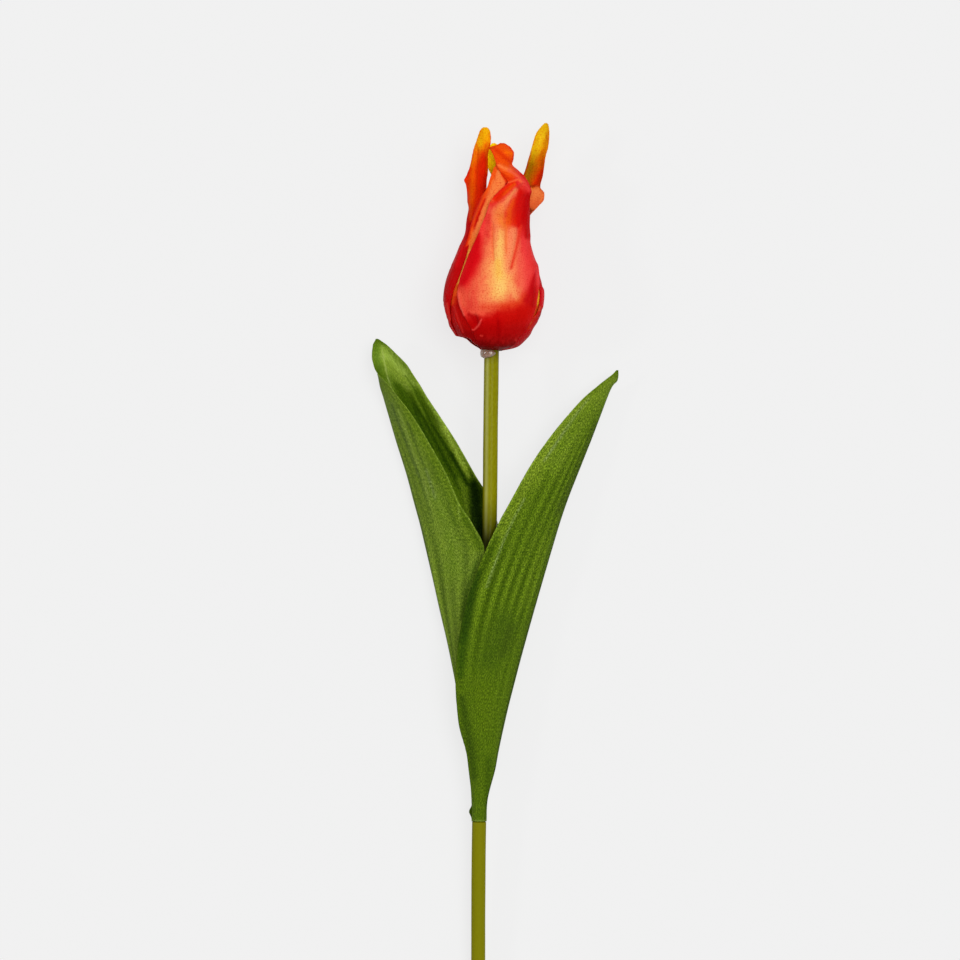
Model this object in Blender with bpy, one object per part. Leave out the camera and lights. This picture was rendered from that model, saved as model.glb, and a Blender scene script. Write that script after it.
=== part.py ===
"""An artificial parrot tulip, laid down: wired plastic stem, cloth leaves and petals, and a blob of glue.

Metres, +Z up. The flower lies along Y with its bloom towards +Y; the table top is z = 0. The origin is the
middle of the flower's outline on the table.

Tables are in millimetres, because their figures are read more easily so; MM turns them into metres. Angles
round the bloom and round the stem are in degrees, 0 facing up (+Z), 90 facing +X and 180 facing the table.
"""

import math

import bmesh
import bpy
import numpy as np

MM = 0.001

# Driving dimensions.
SHEET = 0.6 * MM  # thickness of the petals and the leaves
GAP = 0.3 * MM  # clearance between pieces that touch on the real flower
STEM_LOW_RADIUS = 3.1 * MM  # at the cut end
STEM_TOP_RADIUS = 3.35 * MM  # under the bloom
STEM_WAIST_RADIUS = 2.6 * MM  # where the leaves' feet wrap it
BORE_RADIUS = 1.3 * MM
WIRE_RADIUS = 0.95 * MM
CUT_END_Y = -225.0 * MM
BLOOM_Y = 122.6 * MM  # the underside of the bloom
LEAF_FOOT_Y = -89.3 * MM
WAIST_START, WAIST_END = LEAF_FOOT_Y - 0.6 * MM, -34.0 * MM  # where the leaves' feet wrap the stem
WAIST_SLOPE = 4.0 * MM  # over which the waist widens again
STEM_IN_BLOOM = 2.0 * MM  # how far the stem runs on inside the bloom
GLUE_DROP = 2.3 * MM  # how far under the bloom the middle of the glue lies
GLUE_GAP = GAP + 0.05 * MM  # clearance between the glue and the stem
GLUE_GIRTH, GLUE_WIDTH = 1.05 * MM, 1.6 * MM  # half the thickness and half the width of the glue's middle
GLUE_TIP_GIRTH, GLUE_TIP_WIDTH = 0.2 * MM, 0.3 * MM  # the same at its ends
WIRE_SHORT = 16.0 * MM  # how far under the bloom the wire ends
FOOT_CLEARANCE = GAP + SHEET / 2 + 0.15 * MM  # from the stem's skin to the middle of a leaf's foot
LEAF_FOOT_RADIUS = STEM_WAIST_RADIUS + FOOT_CLEARANCE
UNDER = 1.35 * MM  # how deep the first covered layer of petals lies
DEEP = 2.7 * MM  # how deep the second covered layer lies
LEFT_TUCK = 1.45 * MM  # how deep the left petal's covered edge lies
RIGHT_TUCK = 1.25 * MM  # how deep the right petal's covered edge lies

# Colours, as linear values.
STEM_OLIVE = (0.21, 0.2, 0.01)
WIRE_GREY = (0.35, 0.34, 0.32)
PLUG_GREEN = (0.25, 0.3, 0.05)
GLUE_PINK = (0.55, 0.5, 0.48)
RED = (0.62, 0.012, 0.01)
ORANGE = (0.75, 0.13, 0.01)
LEAF_GREEN = (0.09, 0.2, 0.02)

# How finely each sheet is divided.
PETAL_ACROSS, PETAL_ALONG = 12, 22
LEAF_ACROSS, LEAF_ALONG = 12, 30
STEM_SIDES, STEM_RINGS, WIRE_SIDES = 16, 18, 8
GLUE_STEPS, GLUE_SIDES = 16, 10
PETAL_CROWDING = 0.07  # how much closer a petal's sections stand at its foot and its tip
LEAF_CROWDING = 0.04  # how much closer a leaf's sections stand towards its tip
SHARP_ANGLE = math.radians(50)  # edges bent more than this stay sharp

# The middle line of the stem: y, x, z.
STEM_LINE = [
    (-225, -7.7, 3.1),
    (-188, -7.8, 4.9),
    (-152, -7.7, 6.8),
    (-120, -7.6, 8.5),
    (-89, -7.3, 10.1),
    (-35, -5.5, 12.9),
    (10, -3.9, 15.2),
    (50, -2.6, 17.4),
    (87, -2.0, 19.4),
    (128, -1.4, 21.2),
]

# The plug's turned form: height above BLOOM_Y, radius.
PLUG_PROFILE = [(-9.0, 0.95), (3.9, 0.95), (4.0, 5.6), (5.2, 5.6), (6.8, 4.4), (7.9, 2.4)]
PLUG_AIM = 3.0 * MM  # how far ahead on the stem's line the plug points

# The middle line of the bloom: y, x, z.
BLOOM_LINE = [
    (122.6, -1.4, 21.3),
    (147.4, -0.9, 21.9),
    (165.0, 0.2, 22.4),
    (177.6, 1.3, 22.9),
    (188.0, 2.2, 23.2),
    (197.0, 2.9, 23.4),
]

# The bloom's outer form from the stem to its mouth: height above BLOOM_Y, radius.
BLOOM_PROFILE = [
    (0.0, 3.6),
    (0.2, 7.0),
    (1.4, 11.0),
    (4.2, 14.6),
    (8.0, 17.6),
    (13.0, 20.4),
    (19.0, 22.0),
    (25.0, 22.4),
    (31.5, 21.5),
    (38.0, 19.4),
    (45.0, 16.6),
    (52.0, 14.8),
    (58.0, 14.2),
    (65.0, 14.1),
    (72.0, 13.6),
]


def smooth_table(rows, at):
    """The table's other columns at these values of its first, on a smooth curve that doesn't overshoot."""
    table = np.asarray(rows, float)
    knots, values = table[:, 0], table[:, 1:]
    step = np.diff(knots)[:, None]
    slope = np.diff(values, axis=0) / step
    tangent = np.empty_like(values)
    tangent[0], tangent[-1] = slope[0], slope[-1]
    product = slope[:-1] * slope[1:]
    total = slope[:-1] + slope[1:]
    safe = np.where(np.abs(total) > 1e-12, total, 1.0)
    tangent[1:-1] = np.where(product > 0, 2 * product / safe, 0.0)
    at = np.clip(np.atleast_1d(np.asarray(at, float)), knots[0], knots[-1])
    i = np.clip(np.searchsorted(knots, at, side="right") - 1, 0, len(knots) - 2)
    t = ((at - knots[i]) / step[i, 0])[:, None]
    return (
        values[i] * (2 * t**3 - 3 * t**2 + 1)
        + step[i] * tangent[i] * (t**3 - 2 * t**2 + t)
        + values[i + 1] * (3 * t**2 - 2 * t**3)
        + step[i] * tangent[i + 1] * (t**3 - t**2)
    )


def unit(vectors):
    """The vectors at length 1."""
    return vectors / np.maximum(np.linalg.norm(vectors, axis=-1, keepdims=True), 1e-12)


def new_object(name, verts, faces, colour, roughness, metallic=0.0):
    """A named object with its own material, its faces turned outwards."""
    mesh = bpy.data.meshes.new(name)
    mesh.from_pydata([tuple(v) for v in verts], [], faces)
    material = bpy.data.materials.new(name)
    material.use_nodes = True
    shader = material.node_tree.nodes["Principled BSDF"]
    shader.inputs["Base Color"].default_value = (*colour, 1.0)
    shader.inputs["Roughness"].default_value = roughness
    shader.inputs["Metallic"].default_value = metallic
    mesh.materials.append(material)
    made = bpy.data.objects.new(name, mesh)
    bpy.context.scene.collection.objects.link(made)
    tidy = bmesh.new()
    tidy.from_mesh(mesh)
    bmesh.ops.recalc_face_normals(tidy, faces=tidy.faces)
    tidy.to_mesh(mesh)
    tidy.free()
    mesh.shade_smooth()
    mesh.set_sharp_from_angle(angle=SHARP_ANGLE)
    return made


def sheet_solid(name, middle, colour):
    """A sheet of cloth: the surface grid middle[across, along], thickened equally to both sides."""
    rows, columns = middle.shape[:2]
    place = [[i * columns + j for j in range(columns)] for i in range(rows)]
    faces = []
    for i in range(rows - 1):
        for j in range(columns - 1):
            a, b, c, d = place[i][j], place[i + 1][j], place[i + 1][j + 1], place[i][j + 1]
            faces += [(a, b, c), (a, c, d)]
    made = new_object(name, middle.reshape(-1, 3), faces, colour, 0.5)
    thickness = made.modifiers.new("thickness", "SOLIDIFY")
    thickness.thickness = SHEET
    thickness.offset = 0.0
    return made


def tube_rings(line, radii, sides):
    """Rings of points square to a line through points, with these radii."""
    tangent = unit(np.gradient(line, axis=0))
    side = unit(np.cross(tangent, (0.0, 0.0, 1.0)))
    top = np.cross(side, tangent)
    turn = np.arange(sides) * math.tau / sides
    ring = np.cos(turn)[None, :, None] * top[:, None] + np.sin(turn)[None, :, None] * side[:, None]
    return line[:, None] + ring * np.asarray(radii)[:, None, None]


def loft_faces(rings, sides, start=0):
    """Quads between consecutive rings of points, numbered from start."""
    faces = []
    for i in range(rings - 1):
        for j in range(sides):
            low, high = start + i * sides, start + (i + 1) * sides
            faces.append((low + j, low + (j + 1) % sides, high + (j + 1) % sides, high + j))
    return faces


def end_faces(rings, sides):
    """The two flat ends that close a tube of rings."""
    last = (rings - 1) * sides
    return [tuple(range(sides)), tuple(range(last, last + sides))]


def stem_point(y):
    """Points of the stem's middle line at these places along Y."""
    y = np.atleast_1d(y)
    x, z = smooth_table(STEM_LINE, y / MM).T * MM
    return np.stack([x, y, z], axis=1)


def stem_radius(y):
    """The stem's radius at these places along Y: a slow taper, with the waist taken in."""
    share = (y - CUT_END_Y) / (BLOOM_Y - CUT_END_Y)
    full = STEM_LOW_RADIUS + (STEM_TOP_RADIUS - STEM_LOW_RADIUS) * share
    inside = np.minimum((y - WAIST_START) / GAP + 1.0, (WAIST_END - y) / WAIST_SLOPE + 1.0)
    return full + (STEM_WAIST_RADIUS - full) * np.clip(inside, 0.0, 1.0)


def make_stem():
    """The plastic stem: a thick tube, a little waisted where the leaves' feet wrap it."""
    ends = [WAIST_START - GAP, WAIST_START, WAIST_END, WAIST_END + WAIST_SLOPE]
    y = np.unique(np.concatenate([np.linspace(CUT_END_Y, BLOOM_Y + STEM_IN_BLOOM, STEM_RINGS), ends]))
    radii = stem_radius(y)
    line = stem_point(y)
    outer = tube_rings(line, radii, STEM_SIDES)
    outer[..., 2] = np.maximum(outer[..., 2], 0.0)
    inner = tube_rings(line, np.full(len(y), BORE_RADIUS), STEM_SIDES)
    count = len(y) * STEM_SIDES
    faces = loft_faces(len(y), STEM_SIDES) + [face[::-1] for face in loft_faces(len(y), STEM_SIDES, count)]
    for ring in (0, len(y) - 1):
        first = ring * STEM_SIDES
        for j in range(STEM_SIDES):
            k = (j + 1) % STEM_SIDES
            faces.append((first + j, first + k, count + first + k, count + first + j))
    verts = np.concatenate([outer.reshape(-1, 3), inner.reshape(-1, 3)])
    return new_object("stem", verts, faces, STEM_OLIVE, 0.35)


def make_wire():
    """The iron wire that lets the stem be bent. It shows at the cut end."""
    y = np.linspace(CUT_END_Y, BLOOM_Y - WIRE_SHORT, STEM_RINGS)
    rings = tube_rings(stem_point(y), np.full(len(y), WIRE_RADIUS), WIRE_SIDES)
    faces = loft_faces(len(y), WIRE_SIDES) + end_faces(len(y), WIRE_SIDES)
    return new_object("stem_wire", rings.reshape(-1, 3), faces, WIRE_GREY, 0.4, 1.0)


def make_seat_plug():
    """The plug inside the bloom: a round head that the petals' feet are glued under, on a pin in the stem."""
    heights, radii = np.array(PLUG_PROFILE).T * MM
    base, further = stem_point(np.array([BLOOM_Y, BLOOM_Y + PLUG_AIM]))
    line = base + heights[:, None] * unit(further - base)
    rings = tube_rings(line, radii, STEM_SIDES)
    faces = loft_faces(len(line), STEM_SIDES) + end_faces(len(line), STEM_SIDES)
    return new_object("seat_plug", rings.reshape(-1, 3), faces, PLUG_GREEN, 0.5)


def make_glue_blob():
    """The blob of hot glue under the bloom: a crescent that hugs the stem, thickest on the upper left."""
    first, last, thickest = -118.0, 28.0, -40.0  # degrees round the stem
    turn = np.linspace(first, last, GLUE_STEPS)
    reach = np.where(turn < thickest, thickest - first, last - thickest)
    swell = np.sqrt(np.clip(1.0 - ((turn - thickest) / reach) ** 2, 0.0, 1.0))
    girth = GLUE_TIP_GIRTH + (GLUE_GIRTH - GLUE_TIP_GIRTH) * swell
    width = GLUE_TIP_WIDTH + (GLUE_WIDTH - GLUE_TIP_WIDTH) * swell
    angle = np.radians(turn)
    centre = stem_point(BLOOM_Y - GLUE_DROP)[0]
    away = np.stack([np.sin(angle), np.zeros(GLUE_STEPS), np.cos(angle)], axis=1)
    line = centre + away * (STEM_TOP_RADIUS + GLUE_GAP + girth)[:, None]
    around = np.arange(GLUE_SIDES) * math.tau / GLUE_SIDES
    outwards = away[:, None] * (np.cos(around)[None, :] * girth[:, None])[..., None]
    lengthways = np.array((0.0, 1.0, 0.0)) * (np.sin(around)[None, :] * width[:, None])[..., None]
    verts = (line[:, None] + outwards + lengthways).reshape(-1, 3)
    faces = loft_faces(GLUE_STEPS, GLUE_SIDES) + end_faces(GLUE_STEPS, GLUE_SIDES)
    return new_object("glue_blob", verts, faces, GLUE_PINK, 0.15)


# ---------------------------------------------------------------- petals


def profile_lengths():
    """How far along the bloom's outline, from the stem, each point of it lies (mm)."""
    points = np.array(BLOOM_PROFILE)
    return np.concatenate([[0.0], np.cumsum(np.linalg.norm(np.diff(points, axis=0), axis=1))])


PROFILE_LENGTHS = profile_lengths()
PROFILE_TABLE = np.column_stack([PROFILE_LENGTHS, BLOOM_PROFILE])


def on_bloom(height, turn, depth):
    """The point this high above the bloom's base (mm), this far round it, this deep (m) under its form."""
    heights = np.array([row[0] for row in BLOOM_PROFILE])
    length = np.interp(height, heights, PROFILE_LENGTHS)
    nearby = 0.2  # mm, for the outline's slope
    here = smooth_table(PROFILE_TABLE, [length - nearby, length, length + nearby])
    rise, swell = unit(here[2] - here[0])
    along, radius = here[1] * MM
    along, radius = along + swell * depth, radius - rise * depth
    x, z = smooth_table(BLOOM_LINE, (BLOOM_Y + along) / MM)[0] * MM
    angle = math.radians(turn)
    return np.array([x + radius * math.sin(angle), BLOOM_Y + along, z + radius * math.cos(angle)])


def body_row(height, first, last, depth_first, depth_middle, depth_last):
    """A petal's section on the bloom's form: its two edges, and how far its middle stands proud."""
    start = on_bloom(height, first, depth_first)
    end = on_bloom(height, last, depth_last)
    crown = on_bloom(height, (first + last) / 2, depth_middle)
    return np.concatenate([start, end, crown - (start + end) / 2])


def free_row(y, first, last, bulge):
    """A petal's section where it stands free: its edges and its bulge as (x, z), at this place along Y."""
    (ax, az), (bx, bz), (cx, cz) = first, last, bulge
    return np.array([ax, y, az, bx, y, bz, cx, 0.0, cz]) * MM


def petal_surface(rows, across, along):
    """A grid of points: round arcs through each section's edges and crown, smooth from foot to tip."""
    rows = np.array(rows)
    crowns = (rows[:, 0:3] + rows[:, 3:6]) / 2 + rows[:, 6:9]
    travel = np.concatenate([[0.0], np.cumsum(np.linalg.norm(np.diff(crowns, axis=0), axis=1))])
    at = np.linspace(0.0, 1.0, along + 1)
    at = at - PETAL_CROWDING * np.sin(math.tau * at)
    section = smooth_table(np.column_stack([travel, rows]), at * travel[-1])
    start, end, bulge = section[:, 0:3], section[:, 3:6], section[:, 6:9]
    chord = np.linalg.norm(end - start, axis=1)
    height = np.maximum(np.linalg.norm(bulge, axis=1), 1e-6)
    half = 2 * np.arctan2(2 * height, chord)
    radius = chord / (2 * np.sin(half))
    u = np.linspace(-1.0, 1.0, across + 1)[:, None]
    sideways = (radius * np.sin(u * half))[..., None] * unit(end - start)
    outwards = (radius * (np.cos(u * half) - np.cos(half)))[..., None] * unit(bulge)
    return (start + end) / 2 + sideways + outwards


# Sections of each petal from foot to tip. On the bloom's form: height, edge angles, then depths under the form
# at the first edge, the middle and the last edge. Free of it: y, first edge (x, z), last edge (x, z), bulge.
PETALS = {
    "petal_front": (
        RED,
        [
            (0.05, -50, 52, 0, 0, 0),
            (1.4, -32, 50, 0, 0, 0),
            (4.2, -30, 50, 0, 0, 0),
            (8.0, -30, 50, 0, 0, 0),
            (13.0, -35, 51, 0, 0, 0),
            (19.0, -41, 56, 0, 0, 0),
            (25.0, -45, 62, 0, 0, 0),
            (31.5, -46, 70, 0, 0, 0),
            (38.0, -45, 83, 0, 0, 0),
            (42.0, -45, 88, 0, 0, 0),
            (49.7, -37, 91, 0, 0, 0),
            (56.0, -32, 91, 0, 0, 0),
            (61.0, -25, 91, 0, 0, 0),
            (66.0, -20, 91, 0, 0, 0),
            (71.5, -3, 90, 0, 0, 0),
        ],
        [
            (197.6, (5.5, 36.0), (14.6, 24.5), (2.2, 2.6)),
            (200.5, (3.4, 35.5), (13.0, 25.0), (2.0, 2.6)),
            (203.2, (1.8, 34.5), (10.4, 25.5), (1.6, 2.6)),
            (205.9, (0.8, 33.5), (8.2, 26.0), (1.2, 2.6)),
            (208.6, (0.1, 32.6), (8.5, 26.0), (1.4, 2.4)),
            (211.0, (-0.9, 31.5), (8.6, 26.0), (1.2, 2.2)),
            (213.1, (-2.9, 30.0), (7.6, 26.0), (0.8, 2.0)),
            (214.4, (-1.8, 29.5), (6.1, 26.2), (0.5, 1.5)),
            (215.3, (1.4, 28.5), (4.3, 26.8), (0.2, 0.6)),
        ],
    ),
    "petal_inner_left": (
        ORANGE,
        [
            (0.05, -128, -5, UNDER, UNDER, UNDER),
            (1.4, -125, 0, UNDER, UNDER, UNDER),
            (4.2, -120, 5, UNDER, UNDER, UNDER),
            (8.0, -114, 8, UNDER, UNDER, UNDER),
            (13.0, -106, 10, UNDER, UNDER, UNDER),
            (19.0, -98, 12, UNDER, UNDER, UNDER),
            (25.0, -90, 12, UNDER, UNDER, UNDER),
            (31.5, -83, 12, UNDER, UNDER, UNDER),
            (38.0, -76, 10, UNDER, UNDER, UNDER),
            (45.0, -70, 8, UNDER, UNDER, UNDER),
            (52.0, -67, 8, UNDER, UNDER, UNDER),
            (58.7, -69, 10, UNDER, UNDER, UNDER),
            (63.2, -61, 16, UNDER, UNDER, UNDER),
            (67.7, -50, 20, UNDER, UNDER, UNDER),
            (71.5, -37, 22, UNDER, UNDER, UNDER),
        ],
        [
            (200.5, (-1.6, 33.0), (5.0, 33.6), (0.0, 1.0)),
            (204.5, (-0.2, 31.8), (4.5, 31.6), (0.0, 0.8)),
            (208.1, (0.9, 30.5), (3.6, 30.0), (0.0, 0.4)),
        ],
    ),
    "petal_left": (
        RED,
        [
            (0.05, -165, -92, LEFT_TUCK, 0, 0),
            (1.4, -165, -90, LEFT_TUCK, 0, 0),
            (4.2, -165, -86, LEFT_TUCK, 0, 0),
            (8.0, -165, -80, LEFT_TUCK, 0, 0),
            (13.0, -165, -72, LEFT_TUCK, 0, 0),
            (19.0, -165, -64, LEFT_TUCK, 0, 0),
            (25.0, -165, -56, LEFT_TUCK, 0, 0),
            (31.5, -165, -53, LEFT_TUCK, 0, 0),
            (38.0, -163, -53, LEFT_TUCK, 0, 0),
            (45.0, -162, -58, LEFT_TUCK, 0, 0),
            (51.0, -160, -68, LEFT_TUCK, 0, 0),
        ],
        [
            (180.7, (-7.6, 12.5), (-12.6, 25.6), (-3.1, -0.6)),
            (185.6, (-9.4, 13.0), (-10.4, 25.8), (-2.4, 0.2)),
            (190.1, (-11.5, 14.5), (-6.6, 23.5), (-1.9, 1.2)),
            (194.6, (-12.7, 16.0), (-4.1, 21.0), (-0.8, 1.6)),
            (198.9, (-13.8, 17.3), (-3.9, 20.5), (-0.3, 1.6)),
            (202.7, (-12.2, 18.0), (-3.4, 20.3), (-0.2, 1.5)),
            (206.5, (-10.7, 18.6), (-3.2, 20.2), (-0.2, 1.3)),
            (212.6, (-9.0, 19.4), (-2.6, 20.4), (-0.1, 1.0)),
            (218.0, (-7.7, 20.0), (-2.0, 20.8), (0.0, 0.8)),
            (221.2, (-7.0, 20.4), (-2.3, 21.0), (0.0, 0.6)),
            (222.5, (-6.1, 20.7), (-3.2, 21.0), (0.0, 0.3)),
            (223.0, (-5.4, 20.8), (-3.8, 21.0), (0.0, 0.1)),
        ],
    ),
    "petal_right": (
        RED,
        [
            (0.05, 42, 180, RIGHT_TUCK, 0, 0),
            (1.4, 40, 190, RIGHT_TUCK, 0, 0),
            (4.2, 40, 198, RIGHT_TUCK, 0, 0),
            (8.0, 42, 203, RIGHT_TUCK, 0, 0),
            (12.0, 52, 205, RIGHT_TUCK, 0, 0),
            (16.0, 68, 205, 0.5 * RIGHT_TUCK, 0, 0),
            (20.0, 72, 205, 0.5 * RIGHT_TUCK, 0, 0),
            (25.0, 72, 205, 0.5 * RIGHT_TUCK, 0, 0),
            (30.0, 71, 205, RIGHT_TUCK, 0, 0),
            (34.0, 69, 205, 1.15 * RIGHT_TUCK, 0, 0),
            (38.0, 72, 205, 1.1 * RIGHT_TUCK, 0, 0),
            (45.0, 80, 205, RIGHT_TUCK, 0, 0),
            (52.0, 86, 204, RIGHT_TUCK, 0, 0),
            (58.0, 98, 202, RIGHT_TUCK, 0, 0),
        ],
        [
            (187.6, (18.8, 20.4), (1.0, 9.3), (2.9, -2.7)),
            (190.6, (21.9, 21.2), (3.5, 9.8), (2.5, -2.5)),
            (193.3, (22.1, 21.4), (6.0, 10.5), (2.2, -2.2)),
            (196.0, (20.2, 20.6), (9.0, 11.5), (1.6, -1.6)),
            (201.8, (21.5, 20.0), (12.6, 13.5), (0.8, -1.4)),
            (208.8, (22.8, 20.5), (15.7, 15.5), (0.5, -1.2)),
            (215.0, (24.2, 21.0), (17.6, 17.3), (0.3, -1.0)),
            (220.3, (24.3, 21.5), (19.4, 18.8), (0.2, -0.7)),
            (223.4, (23.9, 21.6), (21.2, 20.0), (0.1, -0.3)),
            (224.8, (23.2, 21.5), (22.3, 21.0), (0.0, -0.1)),
        ],
    ),
    "petal_inner_right": (
        ORANGE,
        [
            (0.05, 25, 120, DEEP, DEEP, DEEP),
            (1.4, 25, 125, DEEP, DEEP, DEEP),
            (8.0, 25, 125, DEEP, DEEP, DEEP),
            (13.0, 25, 125, DEEP, DEEP, DEEP),
            (25.0, 25, 125, DEEP, DEEP, DEEP),
            (38.0, 25, 125, DEEP, DEEP, DEEP),
            (52.0, 25, 122, DEEP, DEEP, DEEP),
            (58.0, 26, 118, DEEP, DEEP, DEEP),
            (65.0, 28, 112, DEEP, DEEP, DEEP),
        ],
        [
            (194.0, (7.0, 31.5), (13.0, 19.0), (2.3, 1.8)),
            (198.5, (7.2, 30.5), (11.0, 21.5), (1.4, 1.0)),
            (202.5, (7.2, 28.5), (8.6, 24.0), (0.5, 0.3)),
        ],
    ),
    "petal_inner_back": (
        ORANGE,
        [
            (0.05, 140, 225, DEEP, DEEP, DEEP),
            (1.4, 137, 228, DEEP, DEEP, DEEP),
            (8.0, 135, 228, DEEP, DEEP, DEEP),
            (25.0, 135, 228, DEEP, DEEP, DEEP),
            (38.0, 135, 228, DEEP, DEEP, DEEP),
            (52.0, 138, 226, DEEP, DEEP, DEEP),
            (58.0, 140, 224, DEEP, DEEP, DEEP),
        ],
        [
            (188.0, (8.1, 15.0), (-5.0, 15.5), (0.0, -2.6)),
            (194.6, (7.2, 18.0), (-0.9, 18.5), (0.0, -2.0)),
            (200.9, (6.8, 22.0), (-1.4, 22.5), (0.0, -1.0)),
            (205.0, (5.7, 25.0), (-2.7, 25.0), (0.0, -0.4)),
            (209.5, (4.3, 26.4), (-2.6, 25.8), (0.0, 0.3)),
            (212.6, (2.7, 26.8), (-2.6, 26.0), (0.0, 0.3)),
            (214.9, (0.9, 27.0), (-2.1, 26.2), (0.0, 0.2)),
            (215.6, (-0.2, 27.0), (-1.3, 26.4), (0.0, 0.1)),
        ],
    ),
}


def make_petals():
    """The six petals, none of them lower than the table."""
    for name, (colour, on_form, standing) in PETALS.items():
        rows = [body_row(*row) for row in on_form] + [free_row(*row) for row in standing]
        middle = petal_surface(rows, PETAL_ACROSS, PETAL_ALONG)
        middle[..., 2] = np.maximum(middle[..., 2], SHEET / 2)
        sheet_solid(name, middle, colour)


# ---------------------------------------------------------------- leaves

# Sections of each leaf from foot to tip: y, then (x, z) of its upper free edge, of its keel and of its lower
# free edge, then how far its upper and its lower half bow out of flat.
LEAVES = {
    "leaf_left": [
        (-89.3, -10.5, 9.8, -10.0, 8.0, -4.1, 9.8, 0.0, 0.0),
        (-62.0, -10.4, 10.8, -11.0, 8.2, -2.0, 6.0, 0.1, -0.7),
        (-44.0, -10.2, 13.6, -14.9, 7.6, 1.0, 5.0, 0.4, -1.0),
        (-26.0, -10.2, 15.4, -17.8, 7.0, 3.0, 4.6, 1.0, -1.5),
        (-12.0, -9.4, 17.2, -20.5, 6.6, 4.0, 4.6, 1.4, -2.0),
        (10.0, -8.0, 19.0, -25.6, 5.8, 4.5, 4.6, 2.0, -2.6),
        (32.6, -5.0, 21.8, -30.9, 5.0, 3.5, 5.2, 2.2, -3.6),
        (44.3, -10.4, 22.0, -33.6, 4.4, 1.0, 5.8, 2.2, -4.0),
        (53.3, -16.2, 21.5, -35.9, 4.0, -1.5, 6.3, 2.2, -4.4),
        (66.4, -22.0, 20.0, -39.5, 3.6, -9.2, 7.2, 2.0, -4.5),
        (82.1, -29.7, 17.5, -44.4, 3.6, -18.0, 8.4, 1.8, -4.3),
        (95.6, -39.2, 14.5, -48.3, 4.2, -26.8, 9.2, 1.2, -3.8),
        (101.9, -44.1, 13.2, -50.1, 5.0, -30.8, 9.6, 0.8, -3.2),
        (107.3, -48.3, 12.2, -51.6, 5.9, -33.8, 10.0, 0.5, -2.6),
        (112.7, -53.0, 11.6, -52.0, 6.9, -37.6, 10.4, 0.2, -2.0),
        (116.0, -54.4, 10.0, -51.2, 7.6, -39.8, 10.6, 0.2, -1.6),
        (120.4, -55.2, 9.4, -51.9, 8.4, -43.9, 11.0, 0.1, -1.0),
        (124.9, -54.9, 9.6, -52.8, 9.2, -48.6, 10.8, 0.1, -0.5),
        (128.0, -53.9, 10.2, -53.5, 10.1, -53.0, 10.2, 0.0, 0.0),
    ],
    "leaf_right": [
        (-89.3, -10.6, 10.4, -5.0, 13.3, -4.0, 10.4, 0.0, 0.0),
        (-62.0, -12.2, 12.4, -0.3, 11.0, -0.6, 8.8, 3.4, 0.2),
        (-44.0, -16.1, 13.6, 3.8, 9.5, 3.8, 6.6, 4.6, 0.6),
        (-26.0, -17.9, 16.6, 8.2, 8.5, 6.4, 4.4, 4.8, 0.9),
        (-12.0, -17.0, 19.4, 12.2, 8.0, 8.2, 2.8, 4.6, 1.0),
        (10.0, -13.0, 22.6, 18.6, 7.2, 10.6, 0.8, 4.2, 1.0),
        (32.6, -5.1, 24.2, 25.0, 6.4, 14.4, 0.4, 4.0, 1.0),
        (44.3, 1.0, 23.6, 28.3, 6.0, 17.5, 0.3, 3.9, 1.0),
        (55.0, 7.0, 22.2, 32.4, 5.6, 21.5, 0.3, 3.7, 1.0),
        (72.0, 16.6, 19.6, 39.4, 5.0, 29.0, 0.3, 3.3, 0.9),
        (84.0, 25.0, 17.0, 43.6, 4.8, 34.5, 0.5, 2.8, 0.8),
        (95.0, 34.0, 14.4, 47.4, 4.8, 40.6, 1.2, 2.2, 0.6),
        (102.0, 40.6, 12.8, 49.6, 5.0, 45.6, 2.2, 1.6, 0.4),
        (106.0, 45.4, 11.8, 50.8, 5.6, 50.4, 3.4, 1.1, 0.2),
        (109.6, 49.8, 10.8, 52.4, 6.8, 54.4, 5.4, 0.6, 0.1),
        (112.0, 52.9, 10.2, 53.9, 8.0, 55.3, 7.2, 0.3, 0.0),
        (113.6, 54.9, 9.6, 55.2, 9.2, 55.5, 9.0, 0.0, 0.0),
    ],
}
LEAF_SOFTNESS = 0.16  # how wide the keel's bend is, as a share of the half-width
FOOT_TURNS = {"leaf_left": (-95.0, -128.0, -265.0), "leaf_right": (-86.0, 52.0, 86.0)}
FOOT_LENGTH = 34.0 * MM  # over which a leaf opens out from the stem


def bent_section(upper, keel, lower, upper_bow, lower_bow, u):
    """A folded blade's section, from u = -1 at its upper edge through the keel at 0 to u = 1 at its lower."""
    soft = LEAF_SOFTNESS
    scale = (1.0 + math.sqrt(1.0 + soft**2)) / 2
    up = (np.sqrt(u**2 + soft**2) - u) / 2 / scale
    down = (np.sqrt(u**2 + soft**2) + u) / 2 / scale
    rest = soft / 2 / scale
    corner = (keel - rest * (upper + lower)) / (1 - 2 * rest)
    across = np.array([0.0, 1.0, 0.0])
    points = corner + up[:, None] * (upper - corner) + down[:, None] * (lower - corner)
    for edge, share, bow in ((upper, up, upper_bow), (lower, down, lower_bow)):
        out = np.cross(across, unit(edge - corner))
        out = out * np.sign(out[2] if abs(out[2]) > 1e-9 else 1.0)
        points = points + (4 * share * (1 - share) * bow)[:, None] * out
    return points


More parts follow.
